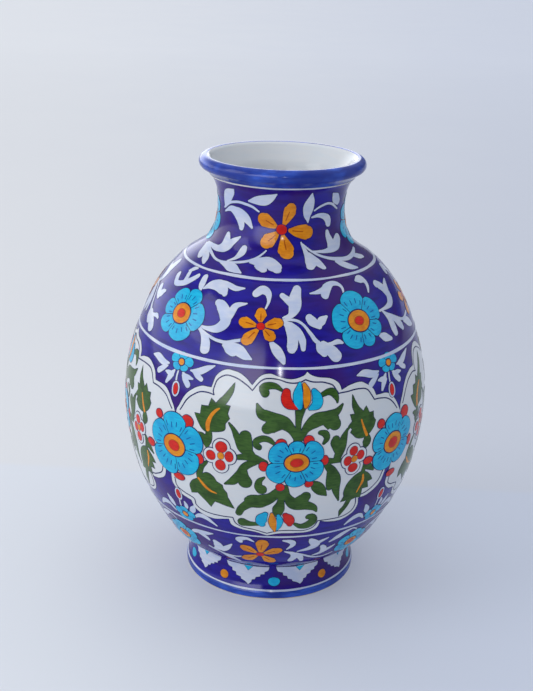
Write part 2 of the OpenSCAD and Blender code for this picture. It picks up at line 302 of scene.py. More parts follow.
PANEL_MIDRIBS = (
    ((-35, 111.6, 2.2), (-35.2, 115.4, 2.6), (-33.6, 119.6, 1.9), (-31.2, 122.6, 1.5), (-29.4, 124, 0.8)),
    ((-41.6, 81.2, 1.1), (-38, 77.4, 1.7), (-34.4, 74.7, 1.3), (-31, 73.8, 0.7)),
    ((48.6, 117.4, 0.9), (50, 113, 1.3), (52.3, 108.2, 1.7)),
    ((52.7, 84, 1), (52.9, 80, 1.7), (51.6, 76, 1.1), (50.4, 73, 0.7)),
)
# Half-open buds: (glaze, brush mark)
PANEL_BUDS = (
    ("red", ((6.3, 135.2, 4.4), (6.1, 132, 5.4), (8.1, 129, 4.6), (12, 127, 1))),
    ("turquoise", ((13.6, 140, 1.6), (12.6, 135, 4.6), (12.7, 130.5, 4.8), (13.4, 128, 3))),
    ("orange", ((16.1, 139.4, 2), (17.3, 135.5, 4), (17.3, 131, 4), (16.6, 127.8, 1.8))),
    ("turquoise", ((21.4, 135.8, 2.6), (23.1, 132.5, 5.2), (22.6, 128.9, 5.6), (18.6, 126.6, 1.4))),
    ("turquoise", ((-3.2, 63.4, 3), (-5, 60.6, 6), (-5.4, 57.6, 6), (-4.8, 55.4, 3.4))),
    ("orange", ((0.6, 63.6, 1.8), (1.2, 59, 4.6), (1.8, 54.5, 4), (2.8, 49.9, 0.9))),
    ("turquoise", ((4.5, 62.6, 1.8), (5.4, 59, 3.4), (5.2, 54.8, 2.8), (4.2, 51.2, 0.9))),
    ("red", ((8.4, 63, 3), (10.2, 60.6, 5.8), (11.2, 57.8, 5.6), (11.4, 55.6, 3))),
)
# Dots of red: (x, y, width, height)
PANEL_DOTS = ((4, 108.2, 5.6, 4.8), (18.6, 109.8, 5.4, 5), (27.9, 97.6, 3.8, 5.4), (20, 83.9, 4.6, 4.2),
              (4.6, 82.1, 4.8, 4.6), (-4.6, 94.7, 4.8, 5.4))
# Small four-petalled flowers: centre, then petals as (x, y, width, height) from it
SMALL_FLOWERS = (
    ((-27.6, 98.2), ((0.3, 5, 6.4, 6.2), (4.7, 0.2, 4.8, 6), (-0.1, -5.6, 5.8, 6.4),
     (-5.6, -0.8, 5.2, 5.6))),
    ((45.2, 95.6), ((-0.8, 4.9, 5, 5.2), (3.8, 1.6, 4.6, 5.6), (-0.4, -5.4, 5.8, 5.4),
     (-3.9, -0.6, 4.6, 5.6))),
)

# The joint between two panels, from the middle of its big flower
JUNCTION_DOTS = ((10.6, 16.2, 7.4, 7), (-9.8, 15, 5.4, 5), (18.4, -3.4, 4.6, 6), (-17.6, -4.6, 6, 4.6),
                 (3.6, -18.8, 7.6, 4.4))
SPANDREL_LEAVES = (
    ((8.4, 43.4, 0.9), (13.5, 44, 3.6), (18, 46, 3.2), (23, 48.4, 0.8)),
    ((10, 43, 1), (13, 41.6, 3), (16, 40.2, 2.6)),
    ((3, 41.6, 1), (5, 38.6, 3.4), (8, 35.4, 3.4)),
    ((4, 39.6, 2.6), (7.6, 39.4, 2.6), (10.6, 39.2, 1)),
    ((-8.4, 43.4, 0.9), (-13.5, 43, 3.8), (-19, 44.4, 3.8), (-24, 44, 0.8)),
    ((-9, 42, 0.9), (-12.6, 39.8, 3), (-15.6, 37.6, 3.2)),
    ((-3, 41, 1), (-5.2, 37.6, 3.6), (-7.6, 33.4, 1.6)),
    ((-4, 38.2, 2.6), (-7, 38.6, 2.8), (-9.6, 38.8, 1)),
    ((8, -47.2, 0.9), (12.6, -44, 3), (17.6, -44.2, 3.6), (24, -49, 1)),
    ((6, -44.6, 1), (8.6, -41, 4), (10.6, -37.6, 1.6)),
    ((-8, -47.6, 0.9), (-12.6, -44, 3), (-17.6, -44.4, 3.6), (-23, -48.6, 1)),
    ((-6, -44.6, 1), (-8.4, -40.8, 4), (-10.6, -37, 1.6)),
    ((2.6, -43, 1), (4.2, -39.6, 3), (3.4, -36.6, 1)),
)

LOWER_SCROLLS = (
    ((-7.8, 38.8, 1), (-11, 41, 2.6), (-14.6, 39.6, 3.6), (-14.3, 37.4, 2.6)),
    ((-31, 23.4, 1), (-28, 25.6, 5), (-27.4, 29, 5.2), (-28.4, 31.4, 3)),
    ((-26, 25, 4), (-22.6, 28, 3.4), (-19.3, 32.8, 0.9)),
    ((-44, 32.4, 1), (-38.5, 36, 3), (-33, 37.5, 3.4), (-28.2, 38.8, 0.9)),
    ((-37, 35.4, 2.6), (-33.8, 33.6, 3), (-32.2, 31.4, 1.6)),
    ((-34, 24.4, 1.4), (-27, 21, 1.4), (-20, 20, 1.4), (-14.6, 21.4, 1.1)),
    ((-27, 20.6, 1.4), (-22.4, 17.6, 4.6), (-18, 13.6, 2.6)),
    ((6.6, 40.8, 1.5), (10, 39.6, 3.2), (11.2, 36.5, 2.8), (8.6, 32, 0.9)),
    ((14.5, 29.2, 0.9), (20, 31, 3.4), (23.2, 34, 5), (20.8, 38, 4), (19.6, 40, 2.2)),
    ((22.6, 34, 3.5), (26, 37, 2.4), (29, 39, 0.8)),
    ((8, 29.5, 1), (12, 27.5, 2.8), (13.4, 23.5, 4), (12, 19.2, 3.6)),
    ((12.5, 27, 3), (16.5, 23, 3.4), (18.8, 17.2, 2)),
    ((14, 27.5, 1.2), (19, 24, 1.4), (24.5, 20.2, 1.5), (31, 18.6, 1.4), (37, 20.4, 1.1)),
    ((24, 22.4, 1), (28.5, 24.5, 2.8), (29, 28.5, 3.4), (27.5, 31.2, 2.4)),
    ((29, 25, 3), (32, 27, 2.6), (35.2, 29.6, 0.9)),
    ((31, 34.4, 1.4), (35, 37.6, 4), (38, 40, 3), (42.5, 41.4, 1.2), (46, 39, 0.8)),
)

# One hanging leaf of the foot, y measured from the waist
FOOT_LEAF = (
    (-14.5, -0.4, 1), (12.6, -0.4, 1), (12, -2.4), (9.8, -3.6, 1), (9.8, -5, 1), (7.4, -5.2, 1),
    (7, -6.6, 1), (4.6, -7, 1), (4, -8.6, 1), (2.2, -9, 1), (1.8, -10.6), (0.2, -12, 1), (-2, -10.6),
    (-4.4, -9.8, 1), (-4.8, -8.6, 1), (-7.4, -8, 1), (-8, -6.2, 1), (-10.2, -5.8, 1), (-10.6, -3.8, 1),
    (-13.4, -3),
)


def glaze(red, green, blue):
    """A colour given as 0 to 255 display values, as Blender's linear red, green and blue."""
    return tuple(
        value / 12.92 if value <= 0.04045 else ((value + 0.055) / 1.055) ** 2.4
        for value in (red / 255, green / 255, blue / 255)
    )


def colour_property(name, description, colour):
    """A colour that a user can change in the panel."""
    return FloatVectorProperty(
        name=name, description=description, subtype="COLOR", size=3, min=0, max=1, default=colour
    )


def length_property(name, description, default):
    """A length that a user can change in the panel."""
    return FloatProperty(
        name=name, description=description, unit="LENGTH", precision=5, min=0, default=default
    )


class VaseSizes(PropertyGroup):
    """Sizes of the glaze coats and the brushwork."""

    coat: length_property("Coat", "How far the ground glaze stands off the clay", 0.1 * MM)
    layer: length_property("Layer", "How much further each layer of paint stands off", 0.05 * MM)
    lining: length_property("Lining", "Thickness of the white glaze inside", 0.15 * MM)
    edge: length_property("Edge", "Width of the dark line round a painted mark", 0.34 * MM)
    petal_gap: length_property("Petal gap", "Dark line between two petals", 0.36 * MM)
    wobble: length_property("Wobble", "How far the hand strays from the pattern", 0.45 * MM)
    sides: IntProperty(name="Sides", description="Straight sides round a turned piece", min=24, default=224)


class VaseColours(PropertyGroup):
    """Colours of the glazes."""

    cobalt: colour_property("Cobalt", "Ground of the neck, shoulder and foot", glaze(35, 27, 144))
    cobalt_pooled: colour_property("Cobalt, pooled", "Ground where the brush left more", glaze(28, 16, 108))
    cobalt_violet: colour_property("Cobalt, violet", "Ground where it fired violet", glaze(56, 20, 104))
    rim_blue: colour_property("Rim blue", "Brushed blue of the rim and foot bands", glaze(54, 90, 194))
    rim_blue_pooled: colour_property("Rim blue, pooled", "Darker streaks of the bands", glaze(34, 52, 138))
    turquoise: colour_property("Turquoise", "Petals of the round flowers", glaze(28, 182, 220))
    turquoise_pooled: colour_property(
        "Turquoise, pooled", "Deeper strokes in the petals", glaze(12, 140, 200)
    )
    deep_turquoise: colour_property("Deep turquoise", "Short strokes in the petals", glaze(4, 96, 168))
    deep_turquoise_pooled: colour_property(
        "Deep turquoise, pooled", "Where the strokes lie thick", glaze(4, 66, 136)
    )
    rust: colour_property("Rust", "Veins of the orange petals", glaze(176, 84, 18))
    rust_pooled: colour_property("Rust, pooled", "Where the veins lie thick", glaze(140, 58, 16))
    orange: colour_property("Orange", "Open flowers and eyes", glaze(226, 145, 28))
    orange_pooled: colour_property("Orange, pooled", "Deeper strokes in the orange", glaze(196, 108, 26))
    red: colour_property("Red", "Pips and berries", glaze(212, 40, 30))
    red_pooled: colour_property("Red, pooled", "Deeper strokes in the red", glaze(170, 22, 24))
    green: colour_property("Green", "Leaves and stems of the panels", glaze(62, 98, 40))
    green_pooled: colour_property("Green, pooled", "Deeper strokes in the leaves", glaze(36, 66, 26))
    ink: colour_property("Ink", "Thin dark outlines", glaze(16, 26, 96))
    ink_pooled: colour_property("Ink, pooled", "Darkest outlines", glaze(10, 14, 58))
    white: colour_property("White", "Panels, scrolls and lining", glaze(211, 214, 218))
    white_pooled: colour_property("White, pooled", "White where it lies thick", glaze(204, 212, 220))
    thin_white: colour_property(
        "Thin white", "Scrolls and lines brushed over the cobalt", glaze(204, 210, 225)
    )
    thin_white_pooled: colour_property(
        "Thin white, pooled", "Where the cobalt shows through", glaze(178, 192, 222)
    )
    slip: colour_property("Slip", "Joints between the thrown parts", glaze(214, 208, 198))
    slip_pooled: colour_property("Slip, damp", "Darker patches of slip", glaze(190, 182, 170))
    clay: colour_property("Clay", "Bare foot", glaze(214, 196, 168))
    clay_pooled: colour_property("Clay, stained", "Darker patches of the bare foot", glaze(180, 156, 126))
    floor: colour_property("Floor", "Pale paper the vase stands on", glaze(192, 196, 203))
    backdrop: colour_property("Backdrop", "Pale wall behind", glaze(197, 199, 203))


def sizes():
    """The sizes set in the panel."""
    return bpy.context.scene.vase_sizes


def colours():
    """The colours set in the panel."""
    return bpy.context.scene.vase_colours


# Node trees


class NodeMaker:
    """Adds nodes to one tree and links them."""

    def __init__(self, tree):
        self.nodes = tree.nodes
        self.link = tree.links.new

    def add(self, kind, inputs=None, **settings):
        """Adds a node. Each input is set to a value, or linked to another node's output."""
        made = self.nodes.new(kind)
        for name, value in settings.items():
            setattr(made, name, value)
        for name, value in (inputs or {}).items():
            if isinstance(value, bpy.types.NodeSocket):
                self.link(value, made.inputs[name])
            else:
                made.inputs[name].default_value = value
        return made

    def maths(self, operation, *values):
        """The result of a sum on numbers."""
        return self.add("ShaderNodeMath", dict(enumerate(values)), operation=operation).outputs[0]

    def vector(self, operation, inputs):
        """The result of a sum on vectors. A dot product is a number."""
        made = self.add("ShaderNodeVectorMath", inputs, operation=operation)
        return made.outputs["Value" if operation == "DOT_PRODUCT" else "Vector"]

    def ramp(self, value, low, high, start=0, end=1, smooth=False):
        """A value brought from the range low to high into the range start to end."""
        ranges = {"Value": value, "From Min": low, "From Max": high, "To Min": start, "To Max": end}
        shape = "SMOOTHSTEP" if smooth else "LINEAR"
        return self.add("ShaderNodeMapRange", ranges, interpolation_type=shape).outputs[0]

    def mix(self, factor, first, second):
        """One colour turned into another by a factor."""
        inputs = {"Factor": factor, "A": first, "B": second}
        return self.add("ShaderNodeMix", inputs, data_type="RGBA").outputs["Result"]


def group_tree(kind, name, inputs, outputs):
    """An empty node tree with named inputs and outputs, each given as (name, kind of socket)."""
    tree = bpy.data.node_groups.new(name, kind)
    for in_out, sockets in (("INPUT", inputs), ("OUTPUT", outputs)):
        for socket_name, socket_kind in sockets:
            tree.interface.new_socket(socket_name, in_out=in_out, socket_type="NodeSocket" + socket_kind)
    return tree


# Outline of the wall


def smooth_curve(points, per_span):
    """A line through the points whose slope and bend never jump: a natural cubic spline."""
    knots = np.array(points, float)
    chord = np.hypot(*np.diff(knots, axis=0).T)
    count = len(knots)
    left = np.eye(count)
    right = np.zeros((count, 2))
    for i in range(1, count - 1):
        left[i, i - 1 : i + 2] = chord[i - 1], 2 * (chord[i - 1] + chord[i]), chord[i]
        right[i] = 6 * ((knots[i + 1] - knots[i]) / chord[i] - (knots[i] - knots[i - 1]) / chord[i - 1])
    bends = np.linalg.solve(left, right)
    line = []
    for i in range(count - 1):
        for there in np.arange(per_span) / per_span:
            here = 1 - there
            curve = (here**3 - here) * bends[i] + (there**3 - there) * bends[i + 1]
            line.append(here * knots[i] + there * knots[i + 1] + curve * chord[i] ** 2 / 6)
    line.append(knots[-1])
    return np.array(line)


def arc(centre, radius, start, end, steps):
    """Points along a circle, from one angle to another in degrees."""
    angles = np.radians(np.linspace(start, end, steps + 1))
    return np.column_stack([centre[0] + radius * np.cos(angles), centre[1] + radius * np.sin(angles)])


def bend(start, control, end, steps):
    """Points along a rounded corner between two points."""
    t = np.linspace(0, 1, steps + 1)[:, None]
    return (1 - t) ** 2 * np.array(start) + 2 * t * (1 - t) * np.array(control) + t**2 * np.array(end)


ROLL_CENTRE = (RIM_R - ROLL_R, TOP_Z - ROLL_R)
# Round the roll, in degrees: where the wall meets it, where the lip leaves it and where the lining ends
ROLL_START = -50
ROLL_END = 145
LINING_END = 108
# Where the inside of the neck meets the roll
LIP = (36.27 * MM, 243.1 * MM)
SHARP_ANGLE = math.radians(40)


class Outline:
    """A line up the wall that knows its own length: place and slope at any distance along it."""

    def __init__(self, points):
        self.points = np.array(points)
        step = np.diff(self.points, axis=0)
        self.length = np.concatenate([[0], np.cumsum(np.hypot(*step.T))])
        slope = np.gradient(self.points, self.length, axis=0)
        self.slope = slope / np.linalg.norm(slope, axis=1)[:, None]

    def at(self, distance, off=0.0):
        """Points at these distances along the line, moved off the wall by off."""
        place = np.column_stack([np.interp(distance, self.length, self.points[:, k]) for k in (0, 1)])
        return place + self.out(distance) * np.reshape(off, (-1, 1))

    def out(self, distance):
        """Directions straight out of the wall at these distances."""
        slope = np.column_stack([np.interp(distance, self.length, self.slope[:, k]) for k in (0, 1)])
        slope = slope / np.linalg.norm(slope, axis=1)[:, None]
        return np.column_stack([slope[:, 1], -slope[:, 0]])

    def distance(self, height):
        """How far along the line a height is reached."""
        top = int(np.argmax(self.points[:, 1]))
        return float(np.interp(height, self.points[: top + 1, 1], self.length[: top + 1]))


def wall_outline():
    """The outside of the vase from the waist up and over the rolled rim."""
    roll = arc(ROLL_CENTRE, ROLL_R, ROLL_START, ROLL_END, 40)
    wall = smooth_curve([*WALL_POINTS, tuple(roll[0] / MM)], 24) * MM
    return Outline(np.vstack([wall[:-1], roll]))


def foot_outline():
    """The outside of the foot ring, from the floor to the waist."""
    rounded = bend((50.5, 5), (48, 9.5), (48, 19), 24)
    low = [(50.0, 0.02), (50.7, 0.3), (51, 1), (51, 2.5), (51, 4)]
    return Outline(np.vstack([low, rounded, [(48, 20)]]) * MM)


WALL = wall_outline()
FOOT = foot_outline()


def inner_line():
    """The inside of the vase, from the middle of its floor to the lip of the neck."""
    start = WALL.distance(HOLLOW_Z)
    end = WALL.distance(RIM_Z) - 2 * MM
    along = np.linspace(start, end, 170)
    height = WALL.at(along)[:, 1]
    thick = np.interp(height, (BELLY_Z, NECK_Z), (BOWL_WALL, NECK_WALL))
    sides = WALL.at(along, -thick)
    corner = bend((FLOOR_CORNER_R, FLOOR_Z), (FLOOR_BEND_R, FLOOR_Z), sides[0], 20)
    floor = [(share * FLOOR_CORNER_R, FLOOR_Z) for share in (0, 0.25, 0.5, 0.75)]
    return Outline(np.vstack([floor, corner, sides[1:], [LIP]]))


INSIDE = inner_line()


# Turned pieces


def material_on(mesh, material):
    """Gives a mesh its one material."""
    mesh.materials.clear()
    mesh.materials.append(material)


def place_piece(name, mesh, replaced=()):
    """Puts a finished mesh in the scene as a named piece of the vase."""
    piece = bpy.data.objects.new(name, mesh)
    bpy.context.scene.collection.objects.link(piece)
    for node in replaced:
        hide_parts(node)
    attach(piece, "root")
    return piece


def turned(name, section, material, replaced=()):
    """A closed solid turned round the axis. Its section is a closed line, or a line from axis to axis."""
    section = np.array(section)
    sides = sizes().sides
    angles = np.arange(sides) * 2 * math.pi / sides
    on_axis = np.isclose(section[:, 0], 0)
    rings = section[~on_axis]
    verts = np.column_stack(
        [
            np.outer(np.sin(angles), rings[:, 0]).ravel(),
            np.outer(-np.cos(angles), rings[:, 0]).ravel(),
            np.tile(rings[:, 1], sides),
        ]
    ).tolist()
    count = len(rings)
    spans = count - 1 if on_axis.any() else count
    faces = []
    for i in range(sides):
        here, there = i * count, (i + 1) % sides * count
        for k in range(spans):
            up = (k + 1) % count
            faces.append((here + k, there + k, there + up, here + up))
    for pole, ring in ((0, 0), (-1, count - 1)):
        if on_axis[pole]:
            verts.append((0, 0, section[pole, 1]))
            for i in range(sides):
                faces.append((len(verts) - 1, i * count + ring, (i + 1) % sides * count + ring))
    mesh = bpy.data.meshes.new(name)
    mesh.from_pydata(verts, [], faces)
    face_outwards(mesh)
    mesh.shade_smooth()
    mesh.set_sharp_from_angle(angle=SHARP_ANGLE)
    material_on(mesh, material)
    return place_piece(name, mesh, replaced)


def face_outwards(mesh):
    """Turns every face of a closed mesh outwards."""
    shape = bmesh.new()
    shape.from_mesh(mesh)
    bmesh.ops.recalc_face_normals(shape, faces=shape.faces)
    shape.to_mesh(mesh)
    shape.free()


# Brushwork, laid out flat in millimetres

# Between two points along an edge or a brush mark, and across a column of a brush mark
STEP = 1.1
COLUMN_WIDTH = 2.4
FINEST_MARK = 0.5
# Corners sharper than this, as the squared sum of their two unit normals, are blunted where an edge grows
BLUNT_CORNER = 1.6
PETAL_STEPS = 14
PETAL_FULLNESS = 0.55
# Where a petal starts, as a share of its reach
PETAL_ROOT = 0.3
# Short strokes in the petals of a round flower: how far apart, how wide, and where, as shares of the reach
DASH_SPACING = 3
DASH_WIDTH = 0.56
DASH_RING = 0.6
DASH_REACHES = (0.54, 0.61, 0.68)
DASH_SHIFT = 0.05
# The vein of an orange petal: (share of the petal's reach, width)
VEIN = ((0.34, 0.45), (0.5, 0.6), (0.66, 0.4))
SMALLEST_AREA = 1e-4
JOIN_DISTANCE = 1e-4
# Between two rows of inner points, as a share of the spacing
ROW_SHARE = 0.87


def through(points):
    """A smooth line through the points at steps of about a millimetre: a Catmull-Rom curve."""
    points = np.array(points, float)
    around = np.vstack([2 * points[0] - points[1], points, 2 * points[-1] - points[-2]])
    line = []
    for before, start, end, after in zip(around, around[1:], around[2:], around[3:]):
        steps = max(2, math.ceil(math.hypot(*(end - start)[:2]) / STEP))
        for t in np.arange(steps) / steps:
            line.append(
                0.5
                * (
                    2 * start
                    + (end - before) * t
                    + (2 * before - 5 * start + 4 * end - after) * t**2
                    + (3 * start - before - 3 * end + after) * t**3
                )
            )
    line.append(points[-1])
    return np.array(line)


def disc(x, y, width, height=None, grow=0.0):
    """An oval dot, as one polygon."""
    height = height or width
    across, up = width / 2 + grow, height / 2 + grow
    count = max(8, math.ceil(2 * math.pi * max(across, up) / STEP))
    turn = np.arange(count) * 2 * math.pi / count
    return [tuple(zip(x + across * np.cos(turn), y + up * np.sin(turn)))]


def brush(points, grow=0.0):
    """One brush mark with round ends, as small triangles that can bend with the wall."""
    line = through(points)
    middle, half = line[:, :2], np.maximum(line[:, 2], FINEST_MARK) / 2 + grow
    along = np.gradient(middle, axis=0)
    along /= np.maximum(np.linalg.norm(along, axis=1), 1e-9)[:, None]
    side = np.column_stack([-along[:, 1], along[:, 0]]) * half[:, None]
    columns = math.ceil(2 * half.max() / COLUMN_WIDTH)
    rows = [middle + side * share for share in np.linspace(1, -1, columns + 1)]
    shape = disc(*middle[0], 2 * half[0]) + disc(*middle[-1], 2 * half[-1])
    for left, right in zip(rows, rows[1:]):
        for i in range(len(line) - 1):
            shape.append((tuple(left[i]), tuple(right[i]), tuple(right[i + 1])))
            shape.append((tuple(left[i]), tuple(right[i + 1]), tuple(left[i + 1])))
    return shape


def thin_line(points, width):
    """A line of one width."""
    return brush([(x, y, width) for x, y in points])


def filled(outline, grow=0.0):
    """The inside of a closed line of points, with its edge moved outwards by grow."""
    line = np.array(outline, float)
    if grow:
        ahead = np.roll(line, -1, axis=0) - line
        ahead /= np.maximum(np.linalg.norm(ahead, axis=1), 1e-9)[:, None]
        out = np.column_stack([ahead[:, 1], -ahead[:, 0]]) * math.copysign(1, area(outline))
        corner = out + np.roll(out, 1, axis=0)
        line += corner * 2 * grow / np.maximum((corner**2).sum(axis=1), BLUNT_CORNER)[:, None]
    return [tuple(tuple(point) for point in line)]


def cut_line(points):
    """A closed line that is smooth except at the points with a third value, which are corners."""
    corners = [i for i, point in enumerate(points) if len(point) > 2]
    flat = [point[:2] for point in points]
    line = []
    for first, last in zip(corners, corners[1:] + [corners[0] + len(points)]):
        line.extend(through([flat[i % len(flat)] for i in range(first, last + 1)])[:-1])
    return np.array(line)


class Painting:
    """The marks of one band: lists of polygons for each glaze and layer."""

    def __init__(self):
        self.marks = {}

    def add(self, glaze_name, layer, shape):
        """Adds polygons of one glaze in one layer."""
        self.marks.setdefault((glaze_name, layer), []).extend(shape)

    def outlined(self, glaze_name, layer, shape_of, edge):
        """Adds a shape over a dark shape that is larger by the edge. shape_of takes how much to grow."""
        self.add("ink", layer - 1, shape_of(edge))
        self.add(glaze_name, layer, shape_of(0.0))

    def stroke(self, glaze_name, layer, points, edge):
        """Adds one brush mark with its dark edge."""
        self.outlined(glaze_name, layer, lambda grow: brush(points, grow), edge)

    def dot(self, glaze_name, layer, oval, edge):
        """Adds an oval (x, y, width, height) with its dark edge."""
        self.outlined(glaze_name, layer, lambda grow: disc(*oval, grow=grow), edge)


def polar(centre, reach, degrees):
    """A point at a distance and direction from a centre."""
    turn = math.radians(degrees)
    return (centre[0] + reach * math.cos(turn), centre[1] + reach * math.sin(turn))


def petal_outline(centre, start, end, reach, notch, gap):
    """The edge of one round petal between two directions, half the gap short of each."""
    root = PETAL_ROOT * reach
    points = []
    for step in range(PETAL_STEPS + 1):
        t = step / PETAL_STEPS
        radius = notch * reach + (1 - notch) * reach * math.sin(math.pi * t) ** PETAL_FULLNESS
        margin = math.degrees(gap / 2 / radius)
        points.append(polar(centre, radius, start + margin + t * (end - start - 2 * margin)))
    margin = math.degrees(gap / 2 / root)
    points.append(polar(centre, root, end - margin))
    points.append(polar(centre, root, start + margin))
    return points


def round_flower(painting, layer, centre, petals, eye, pip, notch=0.78, stretch=(1, 1)):
    """A round flower: petals with dark gaps between them, short blue strokes, an orange eye and a red pip."""
    edge, gap = sizes().edge / MM, sizes().petal_gap / MM

    def stretched(points):
        return [
            tuple(middle + (value - middle) * scale for middle, value, scale in zip(centre, point, stretch))
            for point in points
        ]

    ends = [start for start, _ in petals[1:]] + [petals[0][0] + 360]
    for (start, reach), end in zip(petals, ends):
        whole = stretched(petal_outline(centre, start, end, reach, notch, 0))
        inner = stretched(petal_outline(centre, start, end, reach, notch, gap))
        painting.add("ink", layer - 1, filled(whole, edge))
        painting.add("turquoise", layer, filled(inner))
        dashes = max(2, round(math.radians(end - start) * reach * DASH_RING / DASH_SPACING)) if pip else 0
        for dash in range(dashes):
            turn = start + (dash + 0.5) / dashes * (end - start)
            shift = DASH_SHIFT if dash % 2 else 0
            marks = stretched(polar(centre, (share + shift) * reach, turn) for share in DASH_REACHES)
            painting.add("deep_turquoise", layer + 1, thin_line(marks, DASH_WIDTH))
    painting.add("ink", layer + 1, disc(*centre, *eye, grow=edge * 2))
    painting.add("orange", layer + 2, disc(*centre, *eye))
    if pip:
        painting.add("rust", layer + 3, disc(*centre, *pip, grow=edge * 1.2))
        painting.add("red", layer + 4, disc(*centre, *pip))


def open_flower(painting, layer, centre, petals, eye):
    """An open flower: separate drop-shaped orange petals round a small red eye."""
    edge = sizes().edge / MM
    for turn, inner, outer, width in petals:
        drop = ((inner, 0.3), (0.45 * outer, 0.72), (outer - 0.6 * width, 1), (outer - 0.42 * width, 0.84))
        marks = [(*polar(centre, reach, turn), width * share) for reach, share in drop]
        painting.stroke("orange", layer, marks, edge)
        vein = [(*polar(centre, share * outer, turn), thick) for share, thick in VEIN]
        painting.add("rust", layer + 1, brush(vein))
    painting.dot("red", layer + 2, (*centre, *eye), edge)


def area(polygon):
    """The signed area of a polygon, positive where its points run anticlockwise."""
    x, y = np.array(polygon).T
    return float(np.dot(x, np.roll(y, -1)) - np.dot(y, np.roll(x, -1))) / 2


def union(shape, spacing):
    """One flat surface from overlapping polygons, with points at about the given spacing inside it."""
    points, faces = [], []
    for polygon in shape:
        size = area(polygon)
        if abs(size) > SMALLEST_AREA:
            faces.append(list(range(len(points), len(points) + len(polygon))))
            points.extend(polygon if size > 0 else reversed(polygon))
    low, high = np.min(points, axis=0), np.max(points, axis=0)
    grid = [
        (x + (row % 2) * spacing / 2, y)
        for row, y in enumerate(np.arange(low[1] + spacing / 3, high[1], spacing * ROW_SHARE))
        for x in np.arange(low[0] + spacing / 3, high[0], spacing)
    ]
    flat = [Vector(point) for point in points + grid]
    verts, _, made, _, _, origins = delaunay_2d_cdt(flat, [], faces, 1, JOIN_DISTANCE)
    made = [face for face, origin in zip(made, origins) if origin]
    used = sorted({index for face in made for index in face})
    place = {index: k for k, index in enumerate(used)}
    return [tuple(verts[index]) for index in used], [[place[index] for index in face] for face in made]


def pad(shape, top, spacing):
    """A closed flat pad over the shape, from the clay up to the given height. Everything in metres."""
    flat, tops = union(shape, spacing)
    count = len(flat)
    verts = [(x * MM, y * MM, top) for x, y in flat] + [(x * MM, y * MM, 0) for x, y in flat]
    faces = tops + [[count + index for index in reversed(face)] for face in tops]
    edges = {(face[k - 1], face[k]) for face in tops for k in range(len(face))}
    for start, end in edges:
        if (end, start) not in edges:
            faces.append([start, count + start, count + end, end])
    return verts, faces


# Geometry nodes that wrap the flat brushwork round the wall

# How finely the hand strays, and how many layers high a ring line stands, clear of the paint it meets
HAND_SCALE = 130
RING_LAYERS = 4.5


def wrap_tree():
    """Repeats a flat painted unit round the vase, lets the hand stray a little, and lays it on the wall."""
    numbers = (("Flat Radius", "Float"), ("Wobble", "Float"), ("Seed", "Float"))
    helpers = (("Geometry", "Geometry"), ("Places", "Object"), ("Guide", "Object"))
    inputs = (*helpers, *numbers, ("Material", "Material"))
    tree = group_tree("GeometryNodeTree", "Wrap paint round wall", inputs, (("Geometry", "Geometry"),))
    make = NodeMaker(tree)
    given = make.add("NodeGroupInput").outputs

    places = make.add("GeometryNodeObjectInfo", {"Object": given["Places"]}).outputs["Geometry"]
    repeats = make.add("GeometryNodeInstanceOnPoints", {"Points": places, "Instance": given["Geometry"]})
    realized = make.add("GeometryNodeRealizeInstances", {"Geometry": repeats.outputs["Instances"]})

    place = make.add("GeometryNodeInputPosition").outputs["Position"]
    flat = make.add("ShaderNodeSeparateXYZ", {0: place}).outputs
    ground = make.add("ShaderNodeCombineXYZ", {"X": flat["X"], "Y": flat["Y"]}).outputs[0]
    hand_inputs = {"Vector": ground, "W": given["Seed"], "Scale": HAND_SCALE, "Detail": 1}
    hand = make.add("ShaderNodeTexNoise", hand_inputs, noise_dimensions="4D").outputs["Color"]
    stray = make.vector("SUBTRACT", {0: hand, 1: (0.5, 0.5, 0.5)})
    strayed = make.vector("SCALE", {0: stray, "Scale": make.maths("MULTIPLY", given["Wobble"], 2)})
    drift = make.add("ShaderNodeSeparateXYZ", {0: strayed}).outputs
    across = make.maths("ADD", flat["X"], drift["X"])
    up = make.maths("ADD", flat["Y"], drift["Y"])

    guide = make.add("GeometryNodeObjectInfo", {"Object": given["Guide"]}).outputs["Geometry"]
    wall = make.add("GeometryNodeSampleCurve", {"Curves": guide, "Length": up}, mode="LENGTH").outputs
    slope = make.add("ShaderNodeSeparateXYZ", {0: wall["Tangent"]}).outputs
    inwards = make.maths("MULTIPLY", slope["X"], -1)
    out = make.add("ShaderNodeCombineXYZ", {"X": slope["Z"], "Z": inwards}).outputs[0]
    raised = make.vector("SCALE", {0: out, "Scale": flat["Z"]})
    on_wall = make.vector("ADD", {0: wall["Position"], 1: raised})
    turn = make.maths("SUBTRACT", make.maths("DIVIDE", across, given["Flat Radius"]), math.pi / 2)

    def turned_about_axis(vector):
        inputs = {"Vector": vector, "Angle": turn}
        return make.add("ShaderNodeVectorRotate", inputs, rotation_type="Z_AXIS").outputs[0]

    facing = {"Geometry": realized.outputs[0], "Name": "wall_facing", "Value": turned_about_axis(out)}
    kept = make.add("GeometryNodeStoreNamedAttribute", facing, data_type="FLOAT_VECTOR", domain="POINT")
    moved = {"Geometry": kept.outputs[0], "Position": turned_about_axis(on_wall)}
    wrapped = make.add("GeometryNodeSetPosition", moved).outputs[0]
    painted = make.add("GeometryNodeSetMaterial", {"Geometry": wrapped, "Material": given["Material"]})
    make.add("NodeGroupOutput", {0: painted.outputs[0]})
    return tree


def helper(name, data):
    """An object that is not a piece of the vase: a camera, a lamp, the floor, or one that feeds a tree."""
    made = bpy.data.objects.new(name, data)
    bpy.context.scene.collection.objects.link(made)
    return made


